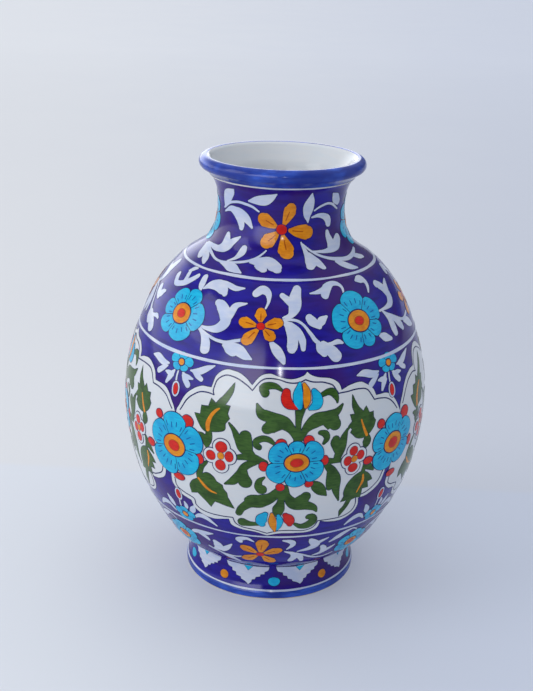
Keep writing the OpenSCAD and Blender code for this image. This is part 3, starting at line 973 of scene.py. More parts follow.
def guide_curve(outline, name):
    """The outline as a curve in the plane of X and Z."""
    data = bpy.data.curves.new(name, "CURVE")
    data.dimensions = "3D"
    spline = data.splines.new("POLY")
    spline.points.add(len(outline.points) - 1)
    for point, (radius, height) in zip(spline.points, outline.points):
        point.co = (radius, 0, height, 1)
    return helper(name, data)


def marks_for_places(distances, name):
    """Points along X, one for each repeat of a painted unit."""
    data = bpy.data.meshes.new(name)
    data.from_pydata([(x * MM, 0, 0) for x in distances], [], [])
    return helper(name, data)


def wall_normals(mesh):
    """Shades the pads like the wall they lie on."""
    count = len(mesh.vertices)
    facing = np.zeros(count * 3)
    mesh.attributes["wall_facing"].data.foreach_get("vector", facing)
    facing = facing.reshape(-1, 3)
    corner_vertex = np.zeros(len(mesh.loops), int)
    mesh.loops.foreach_get("vertex_index", corner_vertex)
    face_size = np.zeros(len(mesh.polygons), int)
    mesh.polygons.foreach_get("loop_total", face_size)
    face_normal = np.zeros(len(mesh.polygons) * 3)
    mesh.polygons.foreach_get("normal", face_normal)
    per_corner = np.repeat(face_normal.reshape(-1, 3), face_size, axis=0)
    normals = facing[corner_vertex]
    under = (normals * per_corner).sum(1) < -0.5
    normals[under] *= -1
    mesh.shade_smooth()
    mesh.normals_split_custom_set(normals.tolist())
    mesh.attributes.remove(mesh.attributes["wall_facing"])


def wrapped_piece(name, verts, faces, material, wrap):
    """Wraps flat pads round the wall through the geometry tree and keeps the result as a plain mesh."""
    flat = bpy.data.meshes.new(name + "_flat")
    flat.from_pydata(verts, [], faces)
    source = helper(name + "_flat", flat)
    modifier = source.modifiers.new("Wrap", "NODES")
    modifier.node_group = wrap["tree"]
    sockets = {
        item.name: item.identifier for item in wrap["tree"].interface.items_tree if item.in_out == "INPUT"
    }
    modifier[sockets["Places"]] = wrap["places"]
    modifier[sockets["Guide"]] = wrap["guide"]
    modifier[sockets["Flat Radius"]] = wrap["radius"] * MM
    modifier[sockets["Wobble"]] = sizes().wobble
    modifier[sockets["Seed"]] = wrap["seed"]
    modifier[sockets["Material"]] = material
    seen = source.evaluated_get(bpy.context.evaluated_depsgraph_get())
    mesh = bpy.data.meshes.new_from_object(seen)
    mesh.name = name
    if len(mesh.vertices) != len(verts) * len(wrap["places"].data.vertices):
        raise RuntimeError(f"{name}: the geometry tree gave {len(mesh.vertices)} points")
    bpy.data.objects.remove(source)
    wall_normals(mesh)
    material_on(mesh, material)
    return place_piece(name, mesh)


def lay_on(band, painting, outline, flat_radius, places, seed, spacing):
    """Makes one piece for each glaze of a band, with its layers stacked on the ground coat."""
    wrap = {
        "tree": bpy.data.node_groups.get("Wrap paint round wall") or wrap_tree(),
        "guide": guide_curve(outline, band + "_guide"),
        "places": marks_for_places(places, band + "_places"),
        "radius": flat_radius,
        "seed": seed,
    }
    glazes = sorted({glaze_name for glaze_name, _ in painting.marks})
    for glaze_name in glazes:
        verts, faces = [], []
        for (other, layer), shape in sorted(painting.marks.items()):
            if other == glaze_name:
                top = sizes().coat + (layer + 2) * sizes().layer
                more_verts, more_faces = pad(shape, top, spacing)
                faces += [[index + len(verts) for index in face] for face in more_faces]
                verts += more_verts
        material = glaze_material(glaze_name)
        wrapped_piece(f"{band}_{glaze_name}", verts, faces, material, wrap)
    bpy.data.objects.remove(wrap["guide"])
    bpy.data.objects.remove(wrap["places"])


def wavy(turn, seed):
    """How far a hand-turned line strays at an angle, from -1 to 1, closing on itself."""
    slow, quick = math.sin(2 * turn + seed), math.sin(11 * turn + 4.1 * seed)
    return (slow + 0.6 * math.sin(5 * turn + 2.3 * seed) + 0.4 * quick) / 2


def ring_line(name, outline, distance, width, stray, glaze_name, seed):
    """A thin painted line right round the vase, closed on itself."""
    sides = sizes().sides
    top = sizes().coat + RING_LAYERS * sizes().layer
    across = np.array([-0.5, -0.5, 0, 0.5, 0.5])
    height = np.array([0, top, top, top, 0])
    verts, normals = [], []
    for i in range(sides):
        turn = i * 2 * math.pi / sides
        thick = width * (1 + 0.3 * wavy(turn * 2, seed + 1))
        along = distance + stray * wavy(turn, seed) + across * thick
        for (radius, up), (out_r, out_z) in zip(outline.at(along, height), outline.out(along)):
            verts.append((radius * math.sin(turn), -radius * math.cos(turn), up))
            normals.append((out_r * math.sin(turn), -out_r * math.cos(turn), out_z))
    count = len(across)
    faces = []
    for i in range(sides):
        here, there = i * count, (i + 1) % sides * count
        for k in range(count):
            beside = (k + 1) % count
            faces.append((here + k, here + beside, there + beside, there + k))
    mesh = bpy.data.meshes.new(name)
    mesh.from_pydata(verts, [], faces)
    face_outwards(mesh)
    facing = mesh.attributes.new("wall_facing", "FLOAT_VECTOR", "POINT")
    facing.data.foreach_set("vector", np.array(normals).ravel())
    wall_normals(mesh)
    material_on(mesh, glaze_material(glaze_name))
    return place_piece(name, mesh)


# The painted bands

# Height of the flowers between the panels, and of the spandrel flowers and their buds
JUNCTION_Y = 97
SPANDRELS = ((143.2, 128.6), (50, 65))
# From one open shoulder flower to the next
SPRAY_STEP = 113
# How far the dark edge of a panel stands out, and how wide the line inside it is
PANEL_EDGE = 0.45
PANEL_LINE = 0.7
# How far the white ground of a small flower and its dark edge stand out from the petals
SMALL_GROUND = 1.5
SMALL_GROUND_EDGE = 2


def moved(marks, centre):
    """The same brush mark or outline from another centre."""
    return [(mark[0] + centre[0], mark[1] + centre[1], *mark[2:]) for mark in marks]


def neck_painting():
    """White scrolls, orange and turquoise flowers of the neck. One unit is half the way round."""
    painting, edge = Painting(), sizes().edge / MM
    for scroll in NECK_SCROLLS:
        painting.stroke("thin_white", 0, scroll, edge)
    open_flower(painting, 2, (0.8, 225.3), NECK_PETALS, (6.2, 5.4))
    round_flower(painting, 2, (62, 224), NECK_ROUND, (10, 9), (5, 4.4), 0.78, (1.15, 1))
    return painting


def shoulder_painting():
    """Scrolls and flowers of the shoulder. One unit holds two round flowers and two open ones."""
    painting, edge = Painting(), sizes().edge / MM
    left, right, spray = (-56, 167.5), (46, 169), (-8.4, 168.8)
    second_spray = (spray[0] + SPRAY_STEP, spray[1])
    for centre, scrolls in (
        (left, SHOULDER_BOW + SHOULDER_TWIG),
        (right, SHOULDER_BOW_OPEN),
        (spray, SHOULDER_SPRAY + SHOULDER_HOOK),
        (second_spray, SHOULDER_SPRAY),
    ):
        for scroll in scrolls:
            painting.stroke("thin_white", 0, moved(scroll, centre), edge)
    for centre in (spray, second_spray):
        open_flower(painting, 2, centre, SHOULDER_PETALS, (4.4, 4))
    round_flower(painting, 2, left, SHOULDER_LEFT_ROUND, (12.4, 11), (5.4, 4.4), 0.8, (1, 0.95))
    round_flower(painting, 2, right, SHOULDER_RIGHT_ROUND, (13.5, 11.5), (5.6, 4.6), 0.8)
    return painting


def panel_painting():
    """One white panel of the belly with its leaves, flowers and buds."""
    painting, edge = Painting(), sizes().edge / MM
    panel = cut_line(PANEL)
    painting.add("ink", -1, filled(panel, PANEL_EDGE))
    painting.add("white", 0, filled(panel))
    for line in PANEL_LINES:
        painting.add("ink", 1, thin_line(line, PANEL_LINE))
    for leaf in PANEL_LEAVES:
        painting.stroke("green", 2, leaf, edge * 0.8)
    for leaf in PANEL_TOOTHED_LEAVES:
        shape = cut_line(leaf)
        painting.outlined("green", 2, lambda grow, shape=shape: filled(shape, grow), edge * 0.8)
    for midrib in PANEL_MIDRIBS:
        painting.add("orange", 3, brush(midrib))
    for glaze_name, bud in PANEL_BUDS:
        painting.stroke(glaze_name, 4, bud, edge)
    for dot in PANEL_DOTS:
        painting.dot("red", 4, dot, edge)
    for centre, petals in SMALL_FLOWERS:
        small_flower(painting, centre, petals)
    round_flower(painting, 6, (12.7, 97.2), CENTRE_ROUND, (12.8, 10.2), (6.6, 4.4), 0.78)
    return painting


def small_flower(painting, centre, petals):
    """Four red petals round an orange eye, inside a scalloped line."""
    edge = sizes().edge / MM
    for petal in moved(petals, centre):
        painting.add("ink", 3, disc(*petal, grow=SMALL_GROUND_EDGE))
        painting.add("white", 4, disc(*petal, grow=SMALL_GROUND))
        painting.dot("red", 6, petal, edge * 0.6)
    painting.add("white", 4, disc(*centre, 4.6, 5))
    painting.dot("orange", 7, (*centre, 3.6, 4), edge * 0.7)


def junction_painting(turn):
    """The flower between two panels, bigger and smaller by turns, and the marks above and below it."""
    painting, edge = Painting(), sizes().edge / MM
    for dot in moved(JUNCTION_DOTS, (0, JUNCTION_Y)):
        painting.dot("red", 6, dot, edge)
    if turn:
        round_flower(painting, 8, (0.6, 98.4), JUNCTION_ROUND, (14, 12), (7, 5.8), 0.76, (0.92, 0.86))
    else:
        round_flower(painting, 8, (1.8, JUNCTION_Y), JUNCTION_ROUND, (14.5, 12.4), (7.4, 5.8), 0.76)
    for leaf in SPANDREL_LEAVES:
        painting.stroke("thin_white", 0, moved(leaf, (0, JUNCTION_Y)), edge)
    for y, bud_y in SPANDRELS:
        painting.stroke("thin_white", 0, [(0.2, bud_y, 1.2), (-0.6, (bud_y + y) / 2, 1), (0.4, y, 1)], edge)
        round_flower(painting, 2, (0.8, y), SPANDREL_ROUND, (4, 3.5), None, 0.74, (1.1, 0.8))
        painting.dot("thin_white", 2, (0.2, bud_y, 5.4, 8.4), edge)
        painting.dot("red", 4, (0.2, bud_y, 3.4, 6.2), edge * 0.5)
    return painting


def lower_painting():
    """Scrolls, orange and turquoise flowers under the panels. One unit is a quarter of the way round."""
    painting, edge = Painting(), sizes().edge / MM
    for scroll in LOWER_SCROLLS:
        painting.stroke("thin_white", 0, scroll, edge)
    open_flower(painting, 2, (-4.7, 26.3), LOWER_PETALS, (4.2, 3.8))
    round_flower(painting, 2, (47, 27.4), LOWER_ROUND, (7.6, 6.6), (3.8, 3.2), 0.8)
    return painting


def foot_painting(turn):
    """One hanging leaf of the foot and the dot beside it, turquoise or orange by turns."""
    painting, edge = Painting(), sizes().edge / MM
    length = FOOT.length[-1] / MM
    leaf = moved(cut_line(FOOT_LEAF), (0, length))
    painting.outlined("thin_white", 0, lambda grow: filled(leaf, grow), edge)
    diamond = [(-2.6, length - 0.6), (0, length - 3.4), (2.8, length - 0.6)]
    painting.outlined("turquoise", 2, lambda grow: filled(diamond, grow), edge * 0.7)
    dot = (15.7, length - 9.6, 5.6 if turn else 7, 5.2)
    painting.dot("orange" if turn else "turquoise", 0, dot, edge)
    return painting


def places_round(degrees, flat_radius):
    """Places round the vase, from degrees to flat millimetres."""
    return [math.radians(angle) * flat_radius for angle in degrees]


# Glazes and other finishes

GLAZE_IOR = 1.3
BUMP_DISTANCE = 2 * MM
# Brush streaks run round the pot, so their pattern is squeezed upwards
STREAK_STRETCH = (1, 1, 5)
# Pin pricks in the glaze: how close, how wide and how deep
PIT_SCALE = 260
PIT_WIDTH = 0.12
PIT_DEPTH = 0.25
# How each glaze takes the brush: streak scale, pool scale, strength, smoothest and roughest, bump,
# ripple scale
FINISHES = {
    "cobalt": (70, 28, 0.85, 0.06, 0.16, 0.06, 45),
    "rim_blue": (95, 40, 0.9, 0.08, 0.2, 0.08, 60),
    "turquoise": (240, 120, 0.55, 0.07, 0.16, 0.06, 45),
    "deep_turquoise": (300, 160, 0.6, 0.07, 0.16, 0.06, 45),
    "orange": (300, 160, 0.6, 0.07, 0.16, 0.06, 45),
    "rust": (300, 160, 0.6, 0.07, 0.16, 0.06, 45),
    "red": (300, 160, 0.5, 0.07, 0.16, 0.06, 45),
    "green": (260, 130, 0.75, 0.07, 0.18, 0.06, 45),
    "ink": (300, 150, 0.5, 0.07, 0.16, 0.06, 45),
    "white": (110, 36, 0.5, 0.05, 0.15, 0.06, 45),
    "thin_white": (130, 60, 0.7, 0.05, 0.15, 0.06, 45),
    "slip": (160, 60, 0.7, 0.45, 0.6, 0.12, 120),
    "clay": (220, 90, 0.8, 0.7, 0.9, 0.2, 300),
}


def brushed_group():
    """Streaks left by a round brush, and pools where the colour ran together. Puts out two masks."""
    inputs = (("Vector", "Vector"), ("Streak Scale", "Float"), ("Pool Scale", "Float"), ("Strength", "Float"))
    group = group_tree("ShaderNodeTree", "Brush streaks", inputs, (("Streaks", "Float"), ("Pools", "Float")))
    make = NodeMaker(group)
    given = make.add("NodeGroupInput").outputs
    streaked = make.vector("MULTIPLY", {0: given["Vector"], 1: STREAK_STRETCH})
    masks = {}
    for mask, source, scale, detail, low, high in (
        ("Streaks", streaked, given["Streak Scale"], 5, 0.4, 0.68),
        ("Pools", given["Vector"], given["Pool Scale"], 3, 0.48, 0.66),
    ):
        noise = make.add("ShaderNodeTexNoise", {"Vector": source, "Scale": scale, "Detail": detail})
        masks[mask] = make.ramp(noise.outputs["Fac"], low, high, 0, given["Strength"])
    make.add("NodeGroupOutput", masks)
    return group


def surface_group():
    """The slightly uneven skin of a dipped glaze: a height for bumps and a roughness."""
    inputs = (("Vector", "Vector"), ("Ripple Scale", "Float"), ("Smooth", "Float"), ("Rough", "Float"))
    group = group_tree("ShaderNodeTree", "Glaze skin", inputs, (("Height", "Float"), ("Roughness", "Float")))
    make = NodeMaker(group)
    given = make.add("NodeGroupInput").outputs
    ripple_inputs = {"Vector": given["Vector"], "Scale": given["Ripple Scale"], "Detail": 2}
    ripple = make.add("ShaderNodeTexNoise", ripple_inputs).outputs["Fac"]
    pits = make.add("ShaderNodeTexVoronoi", {"Vector": given["Vector"], "Scale": PIT_SCALE})
    depth = make.ramp(pits.outputs["Distance"], 0, PIT_WIDTH, -PIT_DEPTH, 0)
    height = make.maths("ADD", ripple, depth)
    roughness = make.ramp(ripple, 0, 1, given["Smooth"], given["Rough"])
    make.add("NodeGroupOutput", {"Height": height, "Roughness": roughness})
    return group


def glaze_material(name):
    """The material of one glaze, made once from its colours in the panel."""
    title = "Glaze " + name
    if title in bpy.data.materials:
        return bpy.data.materials[title]
    streak_scale, pool_scale, strength, smooth, rough, bump_height, ripple_scale = FINISHES[name]
    material = bpy.data.materials.new(title)
    material.use_nodes = True
    make = NodeMaker(material.node_tree)
    shader = make.nodes["Principled BSDF"].inputs
    shader["IOR"].default_value = GLAZE_IOR
    place = make.add("ShaderNodeTexCoord").outputs["Object"]

    brush_inputs = {
        "Vector": place,
        "Streak Scale": streak_scale,
        "Pool Scale": pool_scale,
        "Strength": strength,
    }
    brush_tree = bpy.data.node_groups.get("Brush streaks") or brushed_group()
    brushed = make.add("ShaderNodeGroup", brush_inputs, node_tree=brush_tree).outputs
    thin, pooled = getattr(colours(), name), getattr(colours(), name + "_pooled")
    deepest = colours().cobalt_violet if name == "cobalt" else pooled
    colour = make.mix(brushed["Streaks"], (*thin, 1), (*pooled, 1))
    make.link(make.mix(brushed["Pools"], colour, (*deepest, 1)), shader["Base Color"])

    skin_inputs = {"Vector": place, "Ripple Scale": ripple_scale, "Smooth": smooth, "Rough": rough}
    skin_tree = bpy.data.node_groups.get("Glaze skin") or surface_group()
    skin = make.add("ShaderNodeGroup", skin_inputs, node_tree=skin_tree).outputs
    make.link(skin["Roughness"], shader["Roughness"])
    bump_inputs = {"Strength": bump_height, "Distance": BUMP_DISTANCE, "Height": skin["Height"]}
    make.link(make.add("ShaderNodeBump", bump_inputs).outputs[0], shader["Normal"])
    return material


# Stage

# The camera: place and aim in metres, how far it leans in radians, its lens and sensor in millimetres
CAMERA_PLACE = (0.0, -0.6254, 0.3679)
CAMERA_AIM = (-0.00576, 0.0, 0.1384)
CAMERA_ROLL = 0.031
LENS = 59.65
SENSOR = 36
# The floor: half its width in metres, a glow of its own that paints light into its shadows, and its faint
# unevenness
FLOOR_HALF = 12
FLOOR_PAINTED_LIGHT = 0.34
GRAIN_SCALE = 5
GRAIN_STRENGTH = 0.08
# Where the paper goes over into the wall, and how much that line is turned
WALL_JOIN = (0.099, 0.109)
WALL_LINE_TILT = 0.045
# Painted light on the wall: how bright it is painted, from FAR_FROM to FAR_TO metres behind the vase
WALL_NEAR, WALL_FAR = 0.96, 1.11
FAR_FROM, FAR_TO = 0.4, 3.0
# The side away from the window is painted with shade, a darker and cooler tint: the slopes between which the
# painted shade spreads out like a fan from a point FADE_DEPTH in front of the vase, and where it fades out on
# its way there
FAR_SIDE_PAINTED_SHADE = (0.8, 0.83, 0.91)
FADE_DEPTH = 0.65
TINT_SPREAD = (-0.25, 0.32)
BEHIND_CAMERA = (-0.6, -0.35)
WINDOW_EDGE = math.radians(8)
WINDOW_SIDE = (-math.cos(WINDOW_EDGE), math.sin(WINDOW_EDGE), 0)
# Each light of the room: colour, strength on the pot, strength in the shine of the glaze,
# and where it fades in, as (direction, start, end) of the cosine to it
ROOM_LIGHTS = (
    ((0.82, 0.87, 1.0), 0.13, 0.2, ()),
    ((0.95, 0.97, 1.0), 1.18, 0.6, (((0, 0.28, 0.96), 0.35, 0.95),)),
    ((0.93, 0.96, 1.0), 0.75, 2.4, ((WINDOW_SIDE, 0, 0.05), ((0, 0, -1), -0.55, -0.2))),
    ((0.97, 0.98, 1.0), 1.8, 5.0, ((WINDOW_SIDE, 0, 0.03), ((-0.36, -0.92, 0.12), 0.86, 0.97))),
    ((0.85, 0.92, 1.0), 0.35, 0.6, (((0.95, -0.1, 0.3), 0.7, 0.98),)),
)
# Lamps: name, place, size, power and colour. All point at the middle of the vase.
LAMPS = (
    ("window", (-1.5, -0.5, 1.1), (0.9, 0.9), 9, (1.0, 0.99, 0.98)),
    ("small_pane", (0.1, -1.5, 0.61), (0.035, 0.07), 1.2, (1.0, 1.0, 1.0)),
)
LAMP_AIM = (0, 0, 0.14)


def add_camera():
    """The camera, looking a little down at the vase and leaning slightly."""
    data = bpy.data.cameras.new("Camera")
    data.sensor_width = SENSOR
    data.lens = LENS
    camera = helper("Camera", data)
    forward = (Vector(CAMERA_AIM) - Vector(CAMERA_PLACE)).normalized()
    right = forward.cross(Vector((0, 0, 1))).normalized()
    up = right.cross(forward)
    across = math.cos(CAMERA_ROLL) * right + math.sin(CAMERA_ROLL) * up
    over = -math.sin(CAMERA_ROLL) * right + math.cos(CAMERA_ROLL) * up
    turn = Matrix((across, over, -forward)).transposed()
    camera.matrix_world = Matrix.Translation(CAMERA_PLACE) @ turn.to_4x4()
    bpy.context.scene.camera = camera


def floor_material():
    """Pale paper in front and a pale wall behind, softly joined, painted with shade away from the window,
    with light further back, and a glow.
    """
    material = bpy.data.materials.new("Paper and wall")
    material.use_nodes = True
    make = NodeMaker(material.node_tree)
    shader = make.nodes["Principled BSDF"].inputs
    shader["Roughness"].default_value = 0.9
    shader["Specular IOR Level"].default_value = 0.1
    # The floor glows by itself: painted light that lifts the shadow round the foot
    shader["Emission Strength"].default_value = FLOOR_PAINTED_LIGHT
    place = make.add("ShaderNodeTexCoord").outputs["Object"]
    parts = make.add("ShaderNodeSeparateXYZ", {0: place}).outputs

    # Painted light: the wall is painted brighter the further back it lies
    painted_wall_light = make.ramp(parts["Y"], FAR_FROM, FAR_TO, WALL_NEAR, WALL_FAR)
    wall = make.vector("SCALE", {0: colours().backdrop, "Scale": painted_wall_light})
    depth = make.vector("DOT_PRODUCT", {0: place, 1: (WALL_LINE_TILT, 1, 0)})
    join = make.ramp(depth, *WALL_JOIN, smooth=True)
    plain = make.mix(join, (*colours().floor, 1), wall)

    grain_inputs = {"Vector": place, "Scale": GRAIN_SCALE, "Detail": 4}
    grain = make.add("ShaderNodeTexNoise", grain_inputs).outputs["Fac"]
    # Painted shade: a fan of darker, cooler colour on the side away from the window, roughened by a little
    # grain
    sideways = make.maths("DIVIDE", parts["X"], make.maths("ADD", parts["Y"], FADE_DEPTH))
    painted_shade_fan = make.maths("MULTIPLY_ADD", grain, GRAIN_STRENGTH, sideways)
    in_front = make.ramp(parts["Y"], *BEHIND_CAMERA)
    shade = make.ramp(painted_shade_fan, *TINT_SPREAD, 0, in_front, smooth=True)
    painted_shade_tint = make.mix(shade, (1, 1, 1, 1), (*FAR_SIDE_PAINTED_SHADE, 1))
    shaded = make.vector("MULTIPLY", {0: plain, 1: painted_shade_tint})
    make.link(shaded, shader["Base Color"])
    # The glow, painted light, takes the floor's own painted colour
    make.link(shaded, shader["Emission Color"])
    return material


def add_lamp(name, place, size, power, colour):
    """A rectangular soft light at a place, pointed at the vase."""
    data = bpy.data.lights.new(name, "AREA")
    data.shape = "RECTANGLE"
    data.size, data.size_y = size
    data.energy = power
    data.color = colour
    light = helper(name, data)
    light.location = place
    light.rotation_mode = "QUATERNION"
    light.rotation_quaternion = (Vector(LAMP_AIM) - Vector(place)).to_track_quat("-Z", "Y")


def room_light():
    """Light from all round: a pale room, brighter overhead, with wide soft windows."""
    world = bpy.data.worlds.new("Pale room")
    world.use_nodes = True
    make = NodeMaker(world.node_tree)
    make.nodes.clear()
    direction = make.add("ShaderNodeTexCoord").outputs["Generated"]
    ray = make.add("ShaderNodeLightPath").outputs
    total = None
    for colour, strength, shine, fades in ROOM_LIGHTS:
        level = make.ramp(ray["Is Glossy Ray"], 0, 1, strength, shine)
        for aim, start, end in fades:
            toward = make.vector("DOT_PRODUCT", {0: direction, 1: aim})
            level = make.ramp(toward, start, end, 0, level, smooth=True)
        light = make.add("ShaderNodeBackground", {"Color": (*colour, 1), "Strength": level}).outputs[0]
        total = make.add("ShaderNodeAddShader", {0: total, 1: light}).outputs[0] if total else light
    plain = make.add("ShaderNodeBackground", {"Color": (*colours().backdrop, 1)}).outputs[0]
    seen = make.add("ShaderNodeMixShader", {0: ray["Is Camera Ray"], 1: total, 2: plain})
    make.add("ShaderNodeOutputWorld", {"Surface": seen.outputs[0]})
    return world


class VASE_OT_stage(Operator):
    """Adds the camera, the pale floor, the sky light and the lamps"""

    bl_idname = "vase.stage"
    bl_label = "Stage"

    def execute(self, context):
        add_camera()
        floor = bpy.data.meshes.new("floor")
        corners = [(x * FLOOR_HALF, y * FLOOR_HALF, 0) for x, y in ((-1, -1), (1, -1), (1, 1), (-1, 1))]
        floor.from_pydata(corners, [], [(0, 1, 2, 3)])
        material_on(floor, floor_material())
        helper("floor", floor)
        context.scene.world = room_light()
        for lamp in LAMPS:
            add_lamp(*lamp)
        context.scene.view_settings.view_transform = "Standard"
        return {"FINISHED"}


# Pieces

FOOT_BAND_LOW = 0.8 * MM
FOOT_BAND_HIGH = 5.6 * MM
# How far the foot's glaze reaches into the clay, and how far under the waist the bare clay floor lies
FOOT_GLAZE_DEPTH = 0.2 * MM
UNDERSIDE_TOP = 0.05 * MM
UNDERSIDE_BOTTOM = 0.5 * MM
WALL_STEP = 1.5 * MM
# How far the lining reaches into the wall
LINING_DEPTH = 0.3 * MM
# Painted rings: name, line they lie on, distance along it, width and how far the hand strays, in millimetres
RINGS = (
    ("ring_under_rim", WALL, 249.2, 0.9, 0.15),
    ("ring_under_neck", WALL, 195.2, 1.5, 0.4),
    ("ring_over_panels", WALL, 147.6, 1.5, 0.3),
    ("ring_under_panels", WALL, 44.5, 1.1, 0.25),
    ("ring_over_foot_band", FOOT, 6.0, 1.0, 0.2),
)
RING_SEED_STEP = 1.7
# Where the units of each band stand, in degrees round the pot. The four panels are not quite even.
HALVES = (0, 180)
QUARTERS = (0, 90, 180, 270)
PANELS = (0, 88.6, 180, -88.6)
FIRST_FOOT_LEAF = -14.1
FOOT_LEAF_STEP = 36
# The big flowers between the panels, bigger and smaller ones, in degrees from the first of them.
# The first is placed in flat millimetres.
JUNCTIONS = ((0, 177.8), (85.9, -90.8))
FIRST_JUNCTION_X = -58.3


class VASE_OT_foot(Operator):
    """Makes the clay foot ring with its cobalt coat and blue band, and the bare underside of the floor"""

    bl_idname = "vase.foot"
    bl_label = "Foot"

    def execute(self, context):
        coat = sizes().coat
        inner = np.array([(48, 19.5), (40, 19.5), (40, 13.3), (43, 1), (44, 0), (50, 0)]) * MM
        turned("foot_ring_clay", [*FOOT.points, *inner], glaze_material("clay"), ("foot_ring",))
        for name, glaze_name, slot, low, high in (
            ("foot_band_glaze", "rim_blue", "rim_blue_glaze", FOOT_BAND_LOW, FOOT_BAND_HIGH),
            ("foot_glaze", "cobalt", "cobalt_glaze", FOOT_BAND_HIGH, WAIST_Z),
        ):
            ends = np.interp((low, high), FOOT.points[:, 1], FOOT.length)
            along = np.linspace(*ends, 40)
            shell = np.vstack([FOOT.at(along, coat), FOOT.at(along[::-1], -FOOT_GLAZE_DEPTH)])
            turned(name, shell, glaze_material(glaze_name))
        top, bottom = WAIST_Z - UNDERSIDE_TOP, WAIST_Z - UNDERSIDE_BOTTOM
        underside = [(0, bottom), (UNDERSIDE_R, bottom), (UNDERSIDE_R, top), (0, top)]
        turned("underside_clay", underside, glaze_material("clay"))
        return {"FINISHED"}


class VASE_OT_body(Operator):
    """Makes the two halves of the bowl, the neck and the rolled rim, each under its ground glaze"""

    bl_idname = "vase.body"
    bl_label = "Body"

    def execute(self, context):
        coat = sizes().coat
        widest, highest = WALL.points.max(axis=0)
        if abs(widest - BELLY_R) > MM or abs(highest - TOP_Z) > MM:
            raise RuntimeError("the wall's outline doesn't follow the packed vase")
        levels = (WAIST_Z, BELLY_Z, NECK_Z, RIM_Z)
        names = ("lower_bowl", "upper_bowl", "neck_collar")
        for name, low, high in zip(names, levels, levels[1:]):
            start, end = WALL.distance(low), WALL.distance(high)
            along = np.linspace(start, end, max(12, round((end - start) / WALL_STEP)))
            outside = WALL.at(along, coat)
            inside = inside_between(low, high)
            section = np.vstack([outside, inside[::-1]])
            if name == "lower_bowl":
                section = np.vstack([[(0, WAIST_Z)], section])
            turned(name + "_glazed", section, glaze_material("cobalt"), (name,))
        start = WALL.distance(RIM_Z)
        along = np.linspace(start, WALL.length[-1], 90)
        section = np.vstack([WALL.at(along, coat), inside_between(RIM_Z, 1)[::-1]])
        turned("rim_roll_glazed", section, glaze_material("rim_blue"), ("rim_roll",))
        return {"FINISHED"}


def inside_between(low, high):
    """The inside of the vase between two heights, from the lower one up."""
    heights = INSIDE.points[:, 1]
    if low <= WAIST_Z:
        kept = INSIDE.points[heights < high]
    else:
        start = (np.interp(low, heights, INSIDE.points[:, 0]), low)
        kept = np.vstack([[start], INSIDE.points[(heights > low) & (heights < high)]])
    if high < heights[-1]:
        kept = np.vstack([kept, [(np.interp(high, heights, INSIDE.points[:, 0]), high)]])
    return kept


class VASE_OT_lining(Operator):
    """Pours the white glaze inside, over the lip and up to the crest of the rim"""

    bl_idname = "vase.lining"
    bl_label = "White lining"

    def execute(self, context):
        thick = sizes().lining
        lip = arc(ROLL_CENTRE, ROLL_R, ROLL_END, LINING_END, 24)
        line = Outline(np.vstack([INSIDE.points, lip]))
        face = line.at(line.length, -thick)
        back = line.at(line.length, LINING_DEPTH)
        face[0, 0] = back[0, 0] = 0
        turned("white_lining", np.vstack([face, back[::-1]]), glaze_material("white"))
        return {"FINISHED"}


class VASE_OT_rings(Operator):
    """Paints the thin white lines that part the bands"""

    bl_idname = "vase.rings"
    bl_label = "Ring lines"

    def execute(self, context):
        for k, (name, outline, *lengths) in enumerate(RINGS):
            distance, width, stray = (length * MM for length in lengths)
            ring_line(name, outline, distance, width, stray, "thin_white", seed=k * RING_SEED_STEP)
        return {"FINISHED"}


class VASE_OT_neck_paint(Operator):
    """Paints the scrolls and flowers of the neck"""

    bl_idname = "vase.neck_paint"
    bl_label = "Neck painting"

    def execute(self, context):
        places = places_round(HALVES, NECK_FLAT_R)
        lay_on("neck_paint", neck_painting(), WALL, NECK_FLAT_R, places, seed=3.0, spacing=2.0)
        return {"FINISHED"}


class VASE_OT_shoulder_paint(Operator):
    """Paints the scrolls and flowers of the shoulder"""

    bl_idname = "vase.shoulder_paint"
    bl_label = "Shoulder painting"

    def execute(self, context):
        places = places_round(HALVES, SHOULDER_FLAT_R)
        painting = shoulder_painting()
        lay_on("shoulder_paint", painting, WALL, SHOULDER_FLAT_R, places, seed=5.0, spacing=2.6)
        return {"FINISHED"}


class VASE_OT_panel_paint(Operator):
    """Paints the four white panels of the belly"""

    bl_idname = "vase.panel_paint"
    bl_label = "Belly panels"

    def execute(self, context):
        places = places_round(PANELS, BELLY_FLAT_R)
        lay_on("panel_paint", panel_painting(), WALL, BELLY_FLAT_R, places, seed=7.0, spacing=3.0)
        return {"FINISHED"}


class VASE_OT_junction_paint(Operator):
    """Paints the big flowers between the panels"""

    bl_idname = "vase.junction_paint"
    bl_label = "Flowers between panels"

    def execute(self, context):
        first = math.degrees(FIRST_JUNCTION_X / BELLY_FLAT_R)
        for turn, band in enumerate(("junction_paint_even", "junction_paint_odd")):
            places = places_round([first + step for step in JUNCTIONS[turn]], BELLY_FLAT_R)
            painting = junction_painting(turn)
            lay_on(band, painting, WALL, BELLY_FLAT_R, places, seed=9.0 + turn, spacing=3.0)
        return {"FINISHED"}


class VASE_OT_lower_paint(Operator):
    """Paints the scrolls and flowers under the panels"""

    bl_idname = "vase.lower_paint"
    bl_label = "Lower painting"

    def execute(self, context):
        places = places_round(QUARTERS, LOWER_FLAT_R)
        lay_on("lower_paint", lower_painting(), WALL, LOWER_FLAT_R, places, seed=11.0, spacing=2.6)
        return {"FINISHED"}


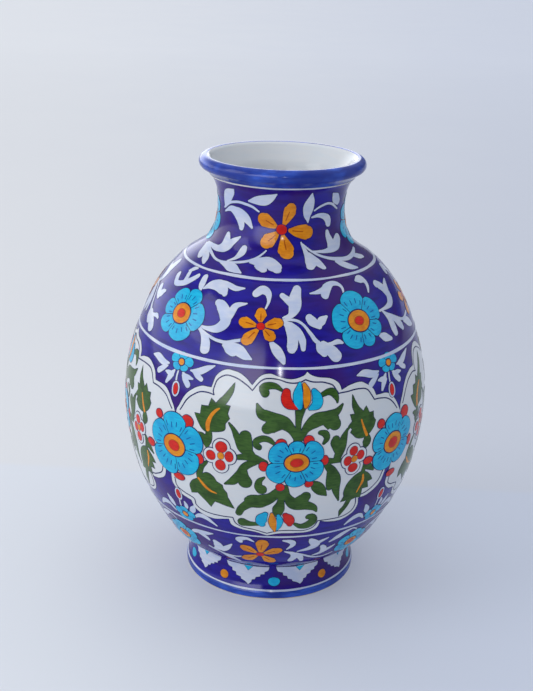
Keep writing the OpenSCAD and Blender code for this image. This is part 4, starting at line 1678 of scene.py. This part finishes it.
class VASE_OT_foot_paint(Operator):
    """Paints the hanging leaves and dots of the foot"""

    bl_idname = "vase.foot_paint"
    bl_label = "Foot painting"

    def execute(self, context):
        for turn, name in enumerate(("foot_paint_even", "foot_paint_odd")):
            leaves = [FIRST_FOOT_LEAF + FOOT_LEAF_STEP * (turn + 2 * k) for k in range(5)]
            places = places_round(leaves, FOOT_FLAT_R)
            lay_on(name, foot_painting(turn), FOOT, FOOT_FLAT_R, places, seed=13.0 + turn, spacing=2.0)
        return {"FINISHED"}


class VASE_OT_slip(Operator):
    """Gives the joints between the thrown parts their slip"""

    bl_idname = "vase.slip"
    bl_label = "Slip joints"

    def execute(self, context):
        for name in ("foot_seam_slip", "belly_seam_slip", "neck_seam_slip", "rim_seam_slip"):
            material_on(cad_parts[name].data, glaze_material("slip"))
        return {"FINISHED"}


class VASE_PT_panel(Panel):
    """Lists the pieces of the vase, with the sizes and colours they are made from"""

    bl_idname = "VASE_PT_panel"
    bl_label = "Painted vase"
    bl_space_type = "VIEW_3D"
    bl_region_type = "UI"
    bl_category = "Vase"

    def draw(self, context):
        column = self.layout.column(align=True)
        for operator in STEPS:
            column.operator(operator.bl_idname)
        for settings in (context.scene.vase_sizes, context.scene.vase_colours):
            box = self.layout.box().column(align=True)
            for name in type(settings).__annotations__:
                box.prop(settings, name)


STEPS = (
    VASE_OT_stage,
    VASE_OT_foot,
    VASE_OT_body,
    VASE_OT_lining,
    VASE_OT_slip,
    VASE_OT_rings,
    VASE_OT_neck_paint,
    VASE_OT_shoulder_paint,
    VASE_OT_panel_paint,
    VASE_OT_junction_paint,
    VASE_OT_lower_paint,
    VASE_OT_foot_paint,
)


def register():
    """Adds the settings, the operators and the panel."""
    for kind in (VaseSizes, VaseColours, *STEPS, VASE_PT_panel):
        bpy.utils.register_class(kind)
    bpy.types.Scene.vase_sizes = PointerProperty(type=VaseSizes)
    bpy.types.Scene.vase_colours = PointerProperty(type=VaseColours)


def unregister():
    """Takes away what register added."""
    del bpy.types.Scene.vase_colours
    del bpy.types.Scene.vase_sizes
    for kind in (VASE_PT_panel, *reversed(STEPS), VaseColours, VaseSizes):
        bpy.utils.unregister_class(kind)


def main():
    """Makes the whole vase, step by step."""
    register()
    for operator in STEPS:
        section, name = operator.bl_idname.split(".")
        getattr(getattr(bpy.ops, section), name)()


if __name__ == "__main__":
    main()
